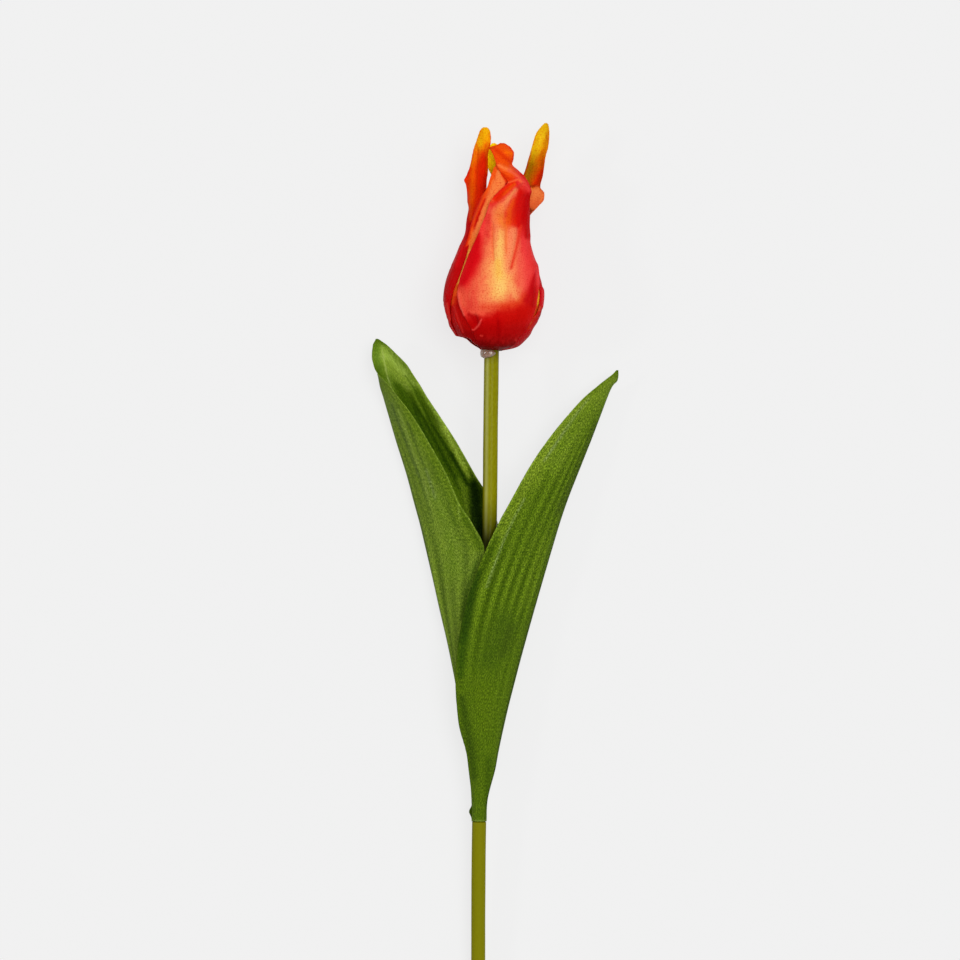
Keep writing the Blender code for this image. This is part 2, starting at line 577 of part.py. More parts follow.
def leaf_surface(name, across, along):
    """A leaf's grid of points: folded sections that open out of the foot wrapped round the stem."""
    rows = np.array(LEAVES[name]) * MM
    keel_line = rows[:, [3, 0, 4]]
    travel = np.concatenate([[0.0], np.cumsum(np.linalg.norm(np.diff(keel_line, axis=0), axis=1))])
    at = np.linspace(0.0, 1.0, along + 1)
    at = at + LEAF_CROWDING * np.sin(math.pi * at) * at
    sections = smooth_table(np.column_stack([travel, rows]), at * travel[-1])
    u = np.linspace(-1.0, 1.0, across + 1)
    turn = np.radians(np.interp(u, (-1.0, 0.0, 1.0), FOOT_TURNS[name]))
    round_stem = np.stack([np.sin(turn), np.zeros_like(turn), np.cos(turn)], axis=1)
    grid = np.empty((across + 1, along + 1, 3))
    for j, (y, ax, az, kx, kz, bx, bz, upper_bow, lower_bow) in enumerate(sections):
        upper, keel, lower = np.array((ax, y, az)), np.array((kx, y, kz)), np.array((bx, y, bz))
        blade = bent_section(upper, keel, lower, upper_bow, lower_bow, u)
        centre = stem_point(y)[0]
        opened = min(1.0, (y - LEAF_FOOT_Y) / FOOT_LENGTH)
        opened = opened * opened * (3 - 2 * opened)
        away = LEAF_FOOT_RADIUS * round_stem * (1 - opened) + (blade - centre) * opened
        reach = np.linalg.norm(away, axis=1, keepdims=True)
        clear = stem_radius(y) + FOOT_CLEARANCE
        grid[:, j] = centre + away * np.maximum(reach, clear) / reach
    grid[..., 2] = np.maximum(grid[..., 2], SHEET / 2)
    return grid


def make_leaves():
    """The two folded leaves."""
    for name in LEAVES:
        sheet_solid(name, leaf_surface(name, LEAF_ACROSS, LEAF_ALONG), LEAF_GREEN)


def main():
    """Clears the scene and makes every piece."""
    for old in list(bpy.data.objects):
        bpy.data.objects.remove(old)
    make_stem()
    make_wire()
    make_seat_plug()
    make_glue_blob()
    make_petals()
    make_leaves()


main()
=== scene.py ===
"""The looks of an artificial parrot tulip, laid down: printed satin petals, cloth leaves, plastic stem, glue.

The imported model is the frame, in metres. Tables are in millimetres, and MM turns them into metres. Colours
are display values from 0 to 255. Angles round the bloom and round the stem are in degrees: 0 faces up (+Z),
90 faces +X and 180 faces the table.
"""

import math

import bpy
import numpy as np
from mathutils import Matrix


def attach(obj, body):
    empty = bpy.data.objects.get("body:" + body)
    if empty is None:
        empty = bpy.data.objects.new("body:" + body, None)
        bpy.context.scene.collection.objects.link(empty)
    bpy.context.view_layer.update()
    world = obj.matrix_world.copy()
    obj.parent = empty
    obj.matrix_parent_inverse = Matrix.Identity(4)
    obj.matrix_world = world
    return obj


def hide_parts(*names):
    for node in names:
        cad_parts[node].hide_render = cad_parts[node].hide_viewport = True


MM = 0.001
TINY = 1e-12

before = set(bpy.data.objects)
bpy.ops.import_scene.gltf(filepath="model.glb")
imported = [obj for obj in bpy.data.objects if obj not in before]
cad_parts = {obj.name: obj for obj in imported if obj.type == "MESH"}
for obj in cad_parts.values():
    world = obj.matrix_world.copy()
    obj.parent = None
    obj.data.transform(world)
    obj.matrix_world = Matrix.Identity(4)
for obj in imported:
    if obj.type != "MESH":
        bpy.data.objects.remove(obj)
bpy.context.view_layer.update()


# ---------------------------------------------------------------- shared tools

NOISE_HASH = (127.1, 311.7, 74.7, 43758.5453)  # odd factors that scatter a lattice point's number
SHARP_ANGLE = math.radians(40)
ATTRIBUTE_KINDS = {1: ("FLOAT", "value"), 3: ("FLOAT_VECTOR", "vector"), 4: ("FLOAT_COLOR", "color")}


def smooth_table(rows, at):
    """The table's other columns at these values of its first, on a smooth curve that doesn't overshoot."""
    table = np.asarray(rows, float)
    knots, values = table[:, 0], table[:, 1:]
    step = np.diff(knots)[:, None]
    slope = np.diff(values, axis=0) / step
    tangent = np.empty_like(values)
    tangent[0], tangent[-1] = slope[0], slope[-1]
    product = slope[:-1] * slope[1:]
    total = slope[:-1] + slope[1:]
    safe = np.where(np.abs(total) > TINY, total, 1.0)
    tangent[1:-1] = np.where(product > 0, 2 * product / safe, 0.0)
    at = np.clip(np.atleast_1d(np.asarray(at, float)), knots[0], knots[-1])
    i = np.clip(np.searchsorted(knots, at, side="right") - 1, 0, len(knots) - 2)
    t = ((at - knots[i]) / step[i, 0])[:, None]
    return (
        values[i] * (2 * t**3 - 3 * t**2 + 1)
        + step[i] * tangent[i] * (t**3 - 2 * t**2 + t)
        + values[i + 1] * (3 * t**2 - 2 * t**3)
        + step[i] * tangent[i + 1] * (t**3 - t**2)
    )


def lengths_along(points):
    """How far each point of a line is from the line's first point."""
    return np.concatenate([[0.0], np.cumsum(np.linalg.norm(np.diff(points, axis=0), axis=1))])


def unit(vectors):
    return vectors / np.maximum(np.linalg.norm(vectors, axis=-1, keepdims=True), TINY)


def fade(share):
    """0 to 1, with a gentle start and end."""
    return share * share * (3 - 2 * share)


def ease(low, high, value):
    """0 below low, 1 above high, smooth between."""
    return fade(np.clip((value - low) / (high - low), 0.0, 1.0))


def lattice_noise(a, b, seed):
    """Smooth noise from -1 to 1 over two coordinates, one cell a unit."""
    a, b = np.broadcast_arrays(np.asarray(a, float), np.asarray(b, float))
    i, j = np.floor(a).astype(int), np.floor(b).astype(int)
    s, t = fade(a - i), fade(b - j)
    along_a, along_b, by_seed, spread = NOISE_HASH

    def corner(di, dj):
        mixed = np.sin((i + di) * along_a + (j + dj) * along_b + seed * by_seed) * spread
        return 2 * (mixed - np.floor(mixed)) - 1

    low = corner(0, 0) * (1 - s) + corner(1, 0) * s
    high = corner(0, 1) * (1 - s) + corner(1, 1) * s
    return low * (1 - t) + high * t


def layered_noise(layers, across, along, seed):
    """A sum of noises: how strong each is, its cells' size across and along, and what it adds to the seed."""
    total = 0.0
    for strength, wide, long, shift in layers:
        total = total + strength * lattice_noise(across / wide, along / long, seed + shift)
    return total


def reach_of(places, path):
    """How far places (x, y) are from a path of (x, y, half-width), as a share of its half-width there."""
    path = np.asarray(path, float)
    if len(path) == 1:
        path = np.concatenate([path, path + (0.0, 1e-3, 0.0)])
    best = np.full(len(places), np.inf)
    for a, b in zip(path[:-1], path[1:]):
        leg = b[:2] - a[:2]
        t = np.clip((places - a[:2]) @ leg / max(leg @ leg, TINY), 0.0, 1.0)
        gap = np.linalg.norm(places - a[:2] - t[:, None] * leg, axis=1)
        best = np.minimum(best, gap / (a[2] + t * (b[2] - a[2])))
    return best


def linear(colour):
    """Display values as the linear values that shaders take, by the sRGB curve."""
    share = np.asarray(colour, float) / 255
    return np.where(share <= 0.04045, share / 12.92, ((share + 0.055) / 1.055) ** 2.4)


def rgba(colour):
    return (*linear(colour), 1.0)


def tint(colours, other, share):
    """Moves an array of colours, in place, towards another colour by a share for each point."""
    colours += (np.asarray(other, float) - colours) * share[:, None]


def paint(colours, plan, marks, wobble, share=1.0):
    """Lays print, painted highlights and painted shade over colours, one over another, with edges that waver
    as a print on cloth does.
    """
    for colour, strength, hardness, *paths in marks:
        for path in paths:
            reach = np.maximum(reach_of(plan, path) + wobble, 0.0)
            tint(colours, colour, strength * share * np.exp(-(reach ** (2 * hardness))))


def with_alpha(colours):
    return np.concatenate([linear(colours), np.ones((len(colours), 1))], axis=1)


def mesh_of(name, verts, faces, materials, attributes):
    """A smooth mesh. Each attribute has a number, a vector or a colour for each point."""
    mesh = bpy.data.meshes.new(name)
    mesh.from_pydata(verts.tolist(), [], faces)
    for label, values in attributes.items():
        kind, key = ATTRIBUTE_KINDS[values.size // len(verts)]
        layer = mesh.attributes.new(label, kind, "POINT")
        layer.data.foreach_set(key, np.asarray(values, np.float32).ravel())
    mesh.shade_smooth()
    for material in materials:
        mesh.materials.append(material)
    return mesh


def add_object(name, data):
    made = bpy.data.objects.new(name, data)
    bpy.context.scene.collection.objects.link(made)
    return made


def tie(made, nodes):
    """Makes a piece ride on the root and stand for these nodes."""
    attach(made, "root")
    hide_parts(*nodes)


def cloth_piece(name, points, nodes, materials, attributes):
    """A grid of points as thickened cloth. Its first material is outside and its last inside."""
    rows, columns = points.shape[:2]
    place = np.arange(rows * columns).reshape(rows, columns)
    corners = (place[:-1, :-1], place[1:, :-1], place[1:, 1:], place[:-1, 1:])
    faces = np.stack([corner.ravel() for corner in corners], axis=1).tolist()
    made = add_object(name, mesh_of(name, points.reshape(-1, 3), faces, materials, attributes))
    sheet = made.modifiers.new("thickness", "SOLIDIFY")
    sheet.thickness = CLOTH_THICKNESS
    sheet.offset = 0.0
    sheet.use_even_offset = True
    sheet.thickness_clamp = 1.0
    sheet.material_offset = len(materials) - 1
    tie(made, nodes)


def solid_piece(name, verts, faces, nodes, material, attributes):
    mesh = mesh_of(name, verts, faces, [material], attributes)
    mesh.set_sharp_from_angle(angle=SHARP_ANGLE)
    tie(add_object(name, mesh), nodes)


# ---------------------------------------------------------------- materials

SATIN_PITCH = 0.42  # mm from thread to thread
LEAF_PITCH = 0.95
LEAF_WEAVE_TURN = math.radians(12)
STEM_HIGHLIGHT = (-2.0, 1.4)  # the painted highlight: mm from the stem's top, round it, and its half-width


class Nodes:
    """A short way to build a material's nodes."""

    def __init__(self, name):
        self.material = bpy.data.materials.new(name)
        self.material.use_nodes = True
        self.tree = self.material.node_tree
        self.shader = self.tree.nodes["Principled BSDF"]

    def add(self, kind, inputs=None, **settings):
        made = self.tree.nodes.new(kind)
        for key, value in settings.items():
            setattr(made, key, value)
        for key, value in (inputs or {}).items():
            self.feed(made.inputs[key], value)
        return made

    def feed(self, socket, value):
        if isinstance(value, bpy.types.NodeSocket):
            self.tree.links.new(value, socket)
        else:
            socket.default_value = value

    def math(self, operation, a, b=0.0):
        return self.add("ShaderNodeMath", {0: a, 1: b}, operation=operation).outputs[0]

    def scaled(self, vector, scale):
        return self.add("ShaderNodeVectorMath", {0: vector, 1: scale}, operation="MULTIPLY").outputs[0]

    def parts(self, vector):
        return self.add("ShaderNodeSeparateXYZ", {0: vector}).outputs

    def attribute(self, name, output="Color"):
        return self.add("ShaderNodeAttribute", attribute_name=name).outputs[output]

    def own_place(self):
        return self.add("ShaderNodeTexCoord").outputs["Object"]

    def noise(self, vector, scale, detail=2.0, roughness=0.5):
        inputs = {"Vector": vector, "Scale": scale, "Detail": detail, "Roughness": roughness}
        return self.add("ShaderNodeTexNoise", inputs).outputs["Fac"]

    def weave(self, cloth, pitch):
        """From -1 to 1, with threads crossing at this pitch."""
        per_thread = math.tau / pitch
        across, along, _ = self.parts(self.scaled(cloth, (per_thread, per_thread, 1.0)))
        return self.math("MULTIPLY", self.math("SINE", across), self.math("SINE", along))

    def ramp(self, value, low, high, to_low=0.0, to_high=1.0):
        inputs = {"Value": value, "From Min": low, "From Max": high, "To Min": to_low, "To Max": to_high}
        return self.add("ShaderNodeMapRange", inputs).outputs["Result"]

    def mix(self, factor, a, b, blend="MIX"):
        made = self.add("ShaderNodeMix", data_type="RGBA", blend_type=blend)
        self.feed(made.inputs["Factor"], factor)
        self.feed(made.inputs[6], a)
        self.feed(made.inputs[7], b)
        return made.outputs[2]

    def bump(self, height, distance, strength, normal=None):
        inputs = {"Height": height, "Distance": distance, "Strength": strength}
        if normal is not None:
            inputs["Normal"] = normal
        return self.add("ShaderNodeBump", inputs).outputs["Normal"]

    def set(self, **values):
        for key, value in values.items():
            self.feed(self.shader.inputs[key.replace("_", " ")], value)


def petal_material(name, colour_layer):
    """Printed satin: the painted colours, broken up by the print's fine specks, on a very fine weave."""
    make = Nodes(name)
    cloth = make.attribute("cloth", "Vector")
    ground = make.attribute(colour_layer)
    specks = make.noise(cloth, 1.5, 2.0, 0.6)
    streaks = make.noise(make.scaled(cloth, (1.5, 0.16, 1.0)), 1.0, 3.0, 0.55)
    darker = make.mix(make.ramp(specks, 0.50, 0.66, 0.0, 0.64), ground, rgba((232, 128, 96)), "MULTIPLY")
    lighter = make.mix(make.ramp(specks, 0.46, 0.30, 0.0, 0.22), darker, rgba((255, 214, 180)), "SOFT_LIGHT")
    toned = make.mix(make.ramp(streaks, 0.35, 0.75, 0.0, 0.10), lighter, rgba((235, 160, 140)), "MULTIPLY")
    threads = make.bump(make.weave(cloth, SATIN_PITCH), 0.02 * MM, 0.5)
    crinkle = make.noise(make.scaled(cloth, (0.7, 0.16, 1.0)), 1.0, 3.0, 0.5)
    make.set(
        Base_Color=toned,
        Roughness=make.ramp(make.attribute("matt", "Fac"), 0.0, 1.0, 0.44, 0.8),
        Normal=make.bump(crinkle, 0.35 * MM, 0.5, threads),
        Specular_IOR_Level=0.01,
    )
    return make.material


def leaf_material(name, colour_layer):
    """Coated woven cloth: coarse threads that catch the light, long streaks of print, pressed ribs, and a
    painted sheen.
    """
    make = Nodes(name)
    cloth = make.attribute("cloth", "Vector")
    blade = make.attribute("blade", "Vector")
    ground = make.attribute(colour_layer)
    streaks = make.noise(make.scaled(blade, (16.0, 2.2, 1.0)), 1.0, 4.0, 0.6)
    streaked = make.mix(make.ramp(streaks, 0.38, 0.66, 0.42, 0.0), ground, rgba((120, 150, 60)), "MULTIPLY")
    blotches = make.noise(cloth, 0.28, 4.0, 0.65)
    toned = make.mix(make.ramp(blotches, 0.42, 0.68, 0.0, 0.30), streaked, rgba((175, 190, 60)), "SOFT_LIGHT")
    grains = make.noise(make.scaled(cloth, (1.9, 1.0, 1.0)), 1.0, 2.0, 0.7)
    grain = make.attribute("grain", "Fac")
    lit = make.math("MULTIPLY", make.ramp(grains, 0.50, 0.70, 0.0, 0.72), grain)
    dim = make.math("MULTIPLY", make.ramp(grains, 0.49, 0.30, 0.0, 0.86), grain)
    with_lit = make.mix(lit, toned, (2.6, 2.3, 3.4, 1.0), "MULTIPLY")
    with_dim = make.mix(dim, with_lit, (0.3, 0.36, 0.35, 1.0), "MULTIPLY")
    # Painted sheen: a pale, grainy line where the coated cloth would shine.
    painted_sheen_share = make.math("MULTIPLY", make.attribute("painted_sheen", "Fac"), make.ramp(grains, 0.42, 0.60))
    with_painted_sheen = make.mix(painted_sheen_share, with_dim, rgba((170, 184, 130)))
    turned = make.add("ShaderNodeVectorRotate", {"Vector": cloth, "Angle": LEAF_WEAVE_TURN}).outputs[0]
    weave = make.weave(turned, LEAF_PITCH)
    woven = make.mix(make.ramp(weave, -0.9, 0.2, 0.42, 0.0), with_painted_sheen, rgba((90, 106, 60)), "MULTIPLY")
    threads = make.bump(weave, 0.06 * MM, 0.8)
    veins = make.noise(make.scaled(blade, (30.0, 3.0, 1.0)), 1.0, 3.0, 0.5)
    make.set(
        Base_Color=woven,
        Roughness=make.ramp(grains, 0.2, 0.8, 0.62, 0.44),
        Normal=make.bump(veins, 0.3 * MM, 0.6, threads),
        Specular_IOR_Level=0.03,
    )
    return make.material


def stem_material():
    """Olive moulded plastic: duller below the leaves, with a painted highlight along its upper left above
    them, painted shade between the leaves and a painted shadow under the bloom.
    """
    make = Nodes("stem_plastic_olive")
    place = make.attribute("along_stem", "Vector")
    around, along, _ = make.parts(place)
    patches = make.noise(make.scaled(place, (2.2, 0.9, 1.0)), 0.5, 3.0, 0.6)
    patched = make.mix(make.ramp(patches, 0.38, 0.68), rgba((126, 122, 2)), rgba((136, 136, 8)))
    dots = make.ramp(make.noise(place, 2.2, 2.0, 0.6), 0.62, 0.78, 0.0, 0.35)
    dotted = make.mix(dots, patched, rgba((98, 96, 14)))
    below_leaves = make.ramp(along, -92.0, -60.0, 1.0, 0.0)
    dulled = make.mix(make.math("MULTIPLY", below_leaves, 0.8), dotted, rgba((118, 116, 1)))
    # Painted highlight: a pale line round the stem's upper left, only above the leaves.
    middle, half_width = STEM_HIGHLIGHT
    aside = make.math("ABSOLUTE", make.math("SUBTRACT", around, middle))
    above_leaves = make.ramp(below_leaves, 0.0, 1.0, 1.0, 0.0)
    line = make.math("MULTIPLY", make.ramp(aside, 0.0, half_width, 0.44, 0.0), above_leaves)
    with_painted_highlight = make.mix(line, dulled, rgba((188, 190, 115)))
    # Painted shade on the stem where it runs between the leaves.
    shade_ends = (make.ramp(along, 57.0, 37.0, 0.0, 0.92), make.ramp(along, -60.0, -20.0))
    painted_shade_between_leaves = make.math("MULTIPLY", *shade_ends)
    shaded = make.mix(painted_shade_between_leaves, with_painted_highlight, rgba((16, 24, 3)))
    # Painted shadow on the stem just under the bloom.
    painted_shadow_under_bloom = make.ramp(along, 116.0, 122.0, 0.0, 0.5)
    make.set(
        Base_Color=make.mix(painted_shadow_under_bloom, shaded, rgba((70, 56, 10))),
        Roughness=make.ramp(below_leaves, 0.0, 1.0, 0.25, 0.62),
        Normal=make.bump(make.noise(place, 0.8, 3.0, 0.5), 0.05 * MM, 0.3),
        Specular_IOR_Level=0.05,
    )
    return make.material


def plain_material(name, colour, other, scale, roughness, metallic=0.0):
    """A material whose colour and gloss wander a little between two shades."""
    make = Nodes(name)
    spread = make.noise(make.own_place(), scale, 4.0, 0.6)
    make.set(
        Base_Color=make.mix(make.ramp(spread, 0.35, 0.65), rgba(colour), rgba(other)),
        Roughness=make.ramp(spread, 0.3, 0.7, roughness, roughness + 0.12),
        Normal=make.bump(spread, 0.1 * MM, 0.4),
        Metallic=metallic,
    )
    return make.material


def glue_material():
    """Cloudy hot glue: pinkish grey and brown, with a wet shine."""
    make = Nodes("hot_glue_cloudy")
    place = make.own_place()
    cloud = make.noise(place, 420.0, 3.0, 0.6)
    make.set(
        Base_Color=make.mix(make.ramp(cloud, 0.35, 0.65), rgba((132, 98, 80)), rgba((152, 128, 112))),
        Roughness=0.16,
        Normal=make.bump(make.noise(place, 700.0, 2.0, 0.5), 0.15 * MM, 0.5),
        Subsurface_Weight=0.25,
        Subsurface_Scale=0.002,
        Coat_Weight=0.6,
        Coat_Roughness=0.08,
    )
    return make.material


# ---------------------------------------------------------------- stem, wire, plug and glue

# The middle line of the stem: y, x, z.
STEM_LINE = [
    (-225, -7.7, 3.1), (-188, -7.8, 4.9), (-152, -7.7, 6.8), (-120, -7.6, 8.5), (-89, -7.3, 10.1),
    (-35, -5.5, 12.9), (10, -3.9, 15.2), (50, -2.45, 17.4), (87, -2.15, 19.4), (128, -1.6, 21.2),
]
CUT_END_Y = -225.0 * MM
BLOOM_Y = 122.6 * MM
LEAF_FOOT_Y = -89.8 * MM
STEM_LOW_RADIUS, STEM_TOP_RADIUS, STEM_WAIST_RADIUS = 3.1 * MM, 3.35 * MM, 2.6 * MM
BORE_RADIUS = 1.3 * MM
# The leaves' feet lie in a waist in the stem.
GAP = 0.3 * MM
WAIST_START, WAIST_END = LEAF_FOOT_Y - 0.05 * MM, -34.0 * MM
WAIST_TAPER = 4.0 * MM
STEM_SIDES, STEM_RINGS = 48, 260
STEM_BEVEL = 0.25 * MM
# The stem's faint unevenness: its rise, its length along the stem, how often it changes round the stem, and
# the place and seed of its noise.
SKIN_RISE, SKIN_LENGTH, SKIN_ROUND = 0.04 * MM, 14 * MM, 1.5
SKIN_PLACE, SKIN_SEED = 9.0, 3
STEM_PAST_BLOOM = 2.0 * MM
# The glue runs from one turn round the stem to another, and is thickest between them.
GLUE_FIRST, GLUE_LAST, GLUE_THICKEST = -118.0, 30.0, -36.0
GLUE_STEPS, GLUE_SIDES = 90, 40
GLUE_Y = BLOOM_Y - 1.3 * MM
# Its girth and its width along the stem, each at its ends and how much more at its thickest (mm).
GLUE_GIRTH, GLUE_WIDTH = (0.06, 1.15), (0.08, 2.2)
GLUE_SINK, GLUE_STAND = 0.05 * MM, 1.0 * MM
# Its lumps: their rise as a share of the girth, their length in degrees, how often they change round it, and
# the place and seed of their noise.
LUMP_RISE, LUMP_LENGTH, LUMP_ROUND = 0.12, 22, 1.4
LUMP_PLACE, LUMP_SEED = 5, 8


def stem_point(y):
    """Points of the stem's middle line at these places along Y."""
    y = np.atleast_1d(y)
    x, z = smooth_table(STEM_LINE, y / MM).T * MM
    return np.stack([x, y, z], axis=1)


def stem_radius(y):
    share = (y - CUT_END_Y) / (BLOOM_Y - CUT_END_Y)
    full = STEM_LOW_RADIUS + (STEM_TOP_RADIUS - STEM_LOW_RADIUS) * share
    inside = np.minimum((y - WAIST_START) / GAP + 1.0, (WAIST_END - y) / WAIST_TAPER + 1.0)
    return full + (STEM_WAIST_RADIUS - full) * np.clip(inside, 0.0, 1.0)


def tube_rings(line, radii, sides):
    """Rings of points square to a line through points, with these radii (one a ring, or one a point)."""
    tangent = unit(np.gradient(line, axis=0))
    side = unit(np.cross(tangent, (0.0, 0.0, 1.0)))
    top = np.cross(side, tangent)
    turn = np.arange(sides) * math.tau / sides
    ring = np.cos(turn)[None, :, None] * top[:, None] + np.sin(turn)[None, :, None] * side[:, None]
    radii = np.broadcast_to(np.asarray(radii).reshape(len(line), -1), (len(line), sides))
    return line[:, None] + ring * radii[..., None]


def loft_faces(rings, sides, start=0):
    faces = []
    for i in range(rings - 1):
        for j in range(sides):
            low, high = start + i * sides, start + (i + 1) * sides
            faces.append((low + j, high + j, high + (j + 1) % sides, low + (j + 1) % sides))
    return faces


def stem_faces(rings):
    """The stem's outside, its bore and the rims that join them at both ends."""
    count = rings * STEM_SIDES
    faces = loft_faces(rings, STEM_SIDES)
    faces += [face[::-1] for face in loft_faces(rings, STEM_SIDES, count)]
    for ring, flip in ((0, 1), (rings - 1, -1)):
        first = ring * STEM_SIDES
        for j in range(STEM_SIDES):
            k = (j + 1) % STEM_SIDES
            faces.append((first + j, first + k, count + first + k, count + first + j)[::flip])
    return faces


def make_stem():
    """The stem with its bore, its saw-cut end eased a little and its skin faintly uneven."""
    bends = [WAIST_START - GAP, WAIST_START, WAIST_END, WAIST_END + WAIST_TAPER, CUT_END_Y + STEM_BEVEL]
    y = np.unique(np.concatenate([np.linspace(CUT_END_Y, BLOOM_Y + STEM_PAST_BLOOM, STEM_RINGS), bends]))
    turn = np.arange(STEM_SIDES)[None, :] * math.tau / STEM_SIDES
    eased = STEM_BEVEL * (1 - ease(CUT_END_Y, CUT_END_Y + STEM_BEVEL, y))[:, None] ** 2
    place_round = np.cos(turn) * SKIN_ROUND + SKIN_PLACE
    place_along = y[:, None] / SKIN_LENGTH + np.sin(turn) * SKIN_ROUND
    uneven = lattice_noise(place_round, place_along, SKIN_SEED)
    outer = tube_rings(stem_point(y), stem_radius(y)[:, None] - eased + SKIN_RISE * uneven, STEM_SIDES)
    outer[..., 2] = np.maximum(outer[..., 2], 0.0)
    inner = tube_rings(stem_point(y), np.full(len(y), BORE_RADIUS), STEM_SIDES)
    verts = np.concatenate([outer.reshape(-1, 3), inner.reshape(-1, 3)])
    from_top = np.where(turn > math.pi, turn - math.tau, turn)
    around = np.broadcast_to(from_top * STEM_TOP_RADIUS / MM, (len(y), STEM_SIDES))
    along = np.broadcast_to(y[:, None] / MM, around.shape)
    place = np.stack([around, along, np.zeros_like(around)], axis=-1).reshape(-1, 3)
    attributes = {"along_stem": np.concatenate([place, place])}
    solid_piece("stem_skin", verts, stem_faces(len(y)), ["stem"], stem_material(), attributes)


def make_glue():
    """The blob of hot glue: a lumpy crescent on the stem's upper left, under the bloom."""
    turn = np.linspace(GLUE_FIRST, GLUE_LAST, GLUE_STEPS)
    reach = np.where(turn < GLUE_THICKEST, GLUE_THICKEST - GLUE_FIRST, GLUE_LAST - GLUE_THICKEST)
    swell = np.sqrt(np.clip(1.0 - ((turn - GLUE_THICKEST) / reach) ** 2, 0.0, 1.0))
    around = np.arange(GLUE_SIDES) * math.tau / GLUE_SIDES
    place_round = np.cos(around)[None, :] * LUMP_ROUND + LUMP_PLACE
    lumps = 1 + LUMP_RISE * lattice_noise(turn[:, None] / LUMP_LENGTH, place_round, LUMP_SEED)
    girth = (GLUE_GIRTH[0] + GLUE_GIRTH[1] * swell)[:, None] * MM * lumps
    width = (GLUE_WIDTH[0] + GLUE_WIDTH[1] * swell**2)[:, None] * MM * lumps
    angle = np.radians(turn)
    away = np.stack([np.sin(angle), np.zeros(GLUE_STEPS), np.cos(angle)], axis=1)
    line = stem_point(GLUE_Y)[0] + away * (STEM_TOP_RADIUS + GLUE_SINK + GLUE_STAND * swell)[:, None]
    outwards = away[:, None] * (np.cos(around)[None, :] * girth)[..., None]
    lengthways = np.array((0.0, 1.0, 0.0)) * (np.sin(around)[None, :] * width)[..., None]
    verts = (line[:, None] + outwards + lengthways).reshape(-1, 3)
    faces = [face[::-1] for face in loft_faces(GLUE_STEPS, GLUE_SIDES)]
    faces.append(tuple(range(GLUE_SIDES))[::-1])
    faces.append(tuple(range((GLUE_STEPS - 1) * GLUE_SIDES, GLUE_STEPS * GLUE_SIDES)))
    solid_piece("glue_drop", verts, faces, ["glue_blob"], glue_material(), {})


def dress_hidden_nodes():
    """The wire and the plug keep their solids and get their own materials."""
    iron = plain_material("iron_wire_bare", (125, 122, 118), (96, 90, 84), 900.0, 0.38, 1.0)
    plug = plain_material("plug_green", (110, 122, 34), (94, 106, 26), 300.0, 0.45)
    for node, material in (("stem_wire", iron), ("seat_plug", plug)):
        for slot in bpy.data.objects[node].material_slots:
            slot.material = material


# ---------------------------------------------------------------- the bloom's form

# The middle line of the bloom: y, x, z.
BLOOM_LINE = [
    (122.6, -1.4, 21.3), (147.4, -0.9, 21.9), (165, 0.2, 22.4), (177.6, 1.3, 22.9), (188, 2.2, 23.2),
    (197, 2.9, 23.4),
]
# The bloom's outer form from the stem to its mouth: height above BLOOM_Y, radius.
BLOOM_PROFILE = [
    (0, 3.6), (0.2, 7), (1.4, 11), (4.2, 14.6), (8, 17.6), (13, 20.4), (19, 22), (25, 22.4), (31.5, 21.5),
    (38, 19.4), (45, 16.6), (52, 14.8), (58, 14.2), (65, 14.1), (72, 13.6),
]
PROFILE_LENGTHS = lengths_along(np.array(BLOOM_PROFILE, float))
PROFILE_TABLE = np.column_stack([PROFILE_LENGTHS, BLOOM_PROFILE])
PROFILE_STEP = 0.2  # mm, over which the form's slope is taken
BLOOM_MIDDLE_Y = 150.0
LEAST_BULGE = 0.001 * MM
TIP_CROWDING = 0.07  # how much closer a petal's rows stand at its foot and its tip


def on_bloom(height, turn, depth):
    """The point this high above the bloom's base (mm), this far round, this deep (m) under its form."""
    heights = np.array([row[0] for row in BLOOM_PROFILE])
    length = np.interp(height, heights, PROFILE_LENGTHS)
    here = smooth_table(PROFILE_TABLE, [length - PROFILE_STEP, length, length + PROFILE_STEP])
    rise, swell = unit(here[2] - here[0])
    along, radius = here[1] * MM
    along, radius = along + swell * depth, radius - rise * depth
    x, z = smooth_table(BLOOM_LINE, (BLOOM_Y + along) / MM)[0] * MM
    angle = math.radians(turn)
    return np.array([x + radius * math.sin(angle), BLOOM_Y + along, z + radius * math.cos(angle)])


def body_row(usual_depths, height, first, last, depths=None):
    """A petal's section on the bloom's form: its two edges, and how far its middle stands proud."""
    depth_first, depth_middle, depth_last = depths or usual_depths
    start = on_bloom(height, first, depth_first)
    end = on_bloom(height, last, depth_last)
    crown = on_bloom(height, (first + last) / 2, depth_middle)
    return np.concatenate([start, end, crown - (start + end) / 2])


def free_row(y, first, last, bulge):
    """A petal's section free of the form: its edges and its bulge as (x, z), at this place along Y."""
    return np.array([first[0], y, first[1], last[0], y, last[1], bulge[0], 0.0, bulge[1]]) * MM


def petal_surface(rows, across, along):
    """A grid of round arcs through each section's edges and crown, on smooth curves from foot to tip."""
    rows = np.array(rows)
    travel = lengths_along((rows[:, 0:3] + rows[:, 3:6]) / 2 + rows[:, 6:9])
    at = np.linspace(0.0, 1.0, along + 1)
    at = at - TIP_CROWDING * np.sin(math.tau * at)
    section = smooth_table(np.column_stack([travel, rows]), at * travel[-1])
    start, end, bulge = section[:, 0:3], section[:, 3:6], section[:, 6:9]
    chord = np.linalg.norm(end - start, axis=1)
    height = np.maximum(np.linalg.norm(bulge, axis=1), LEAST_BULGE)
    half = 2 * np.arctan2(2 * height, chord)
    radius = chord / (2 * np.sin(half))
    span = np.linspace(-1.0, 1.0, across + 1)[:, None]
    sideways = (radius * np.sin(span * half))[..., None] * unit(end - start)
    outwards = (radius * (np.cos(span * half) - np.cos(half)))[..., None] * unit(bulge)
    return (start + end) / 2 + sideways + outwards


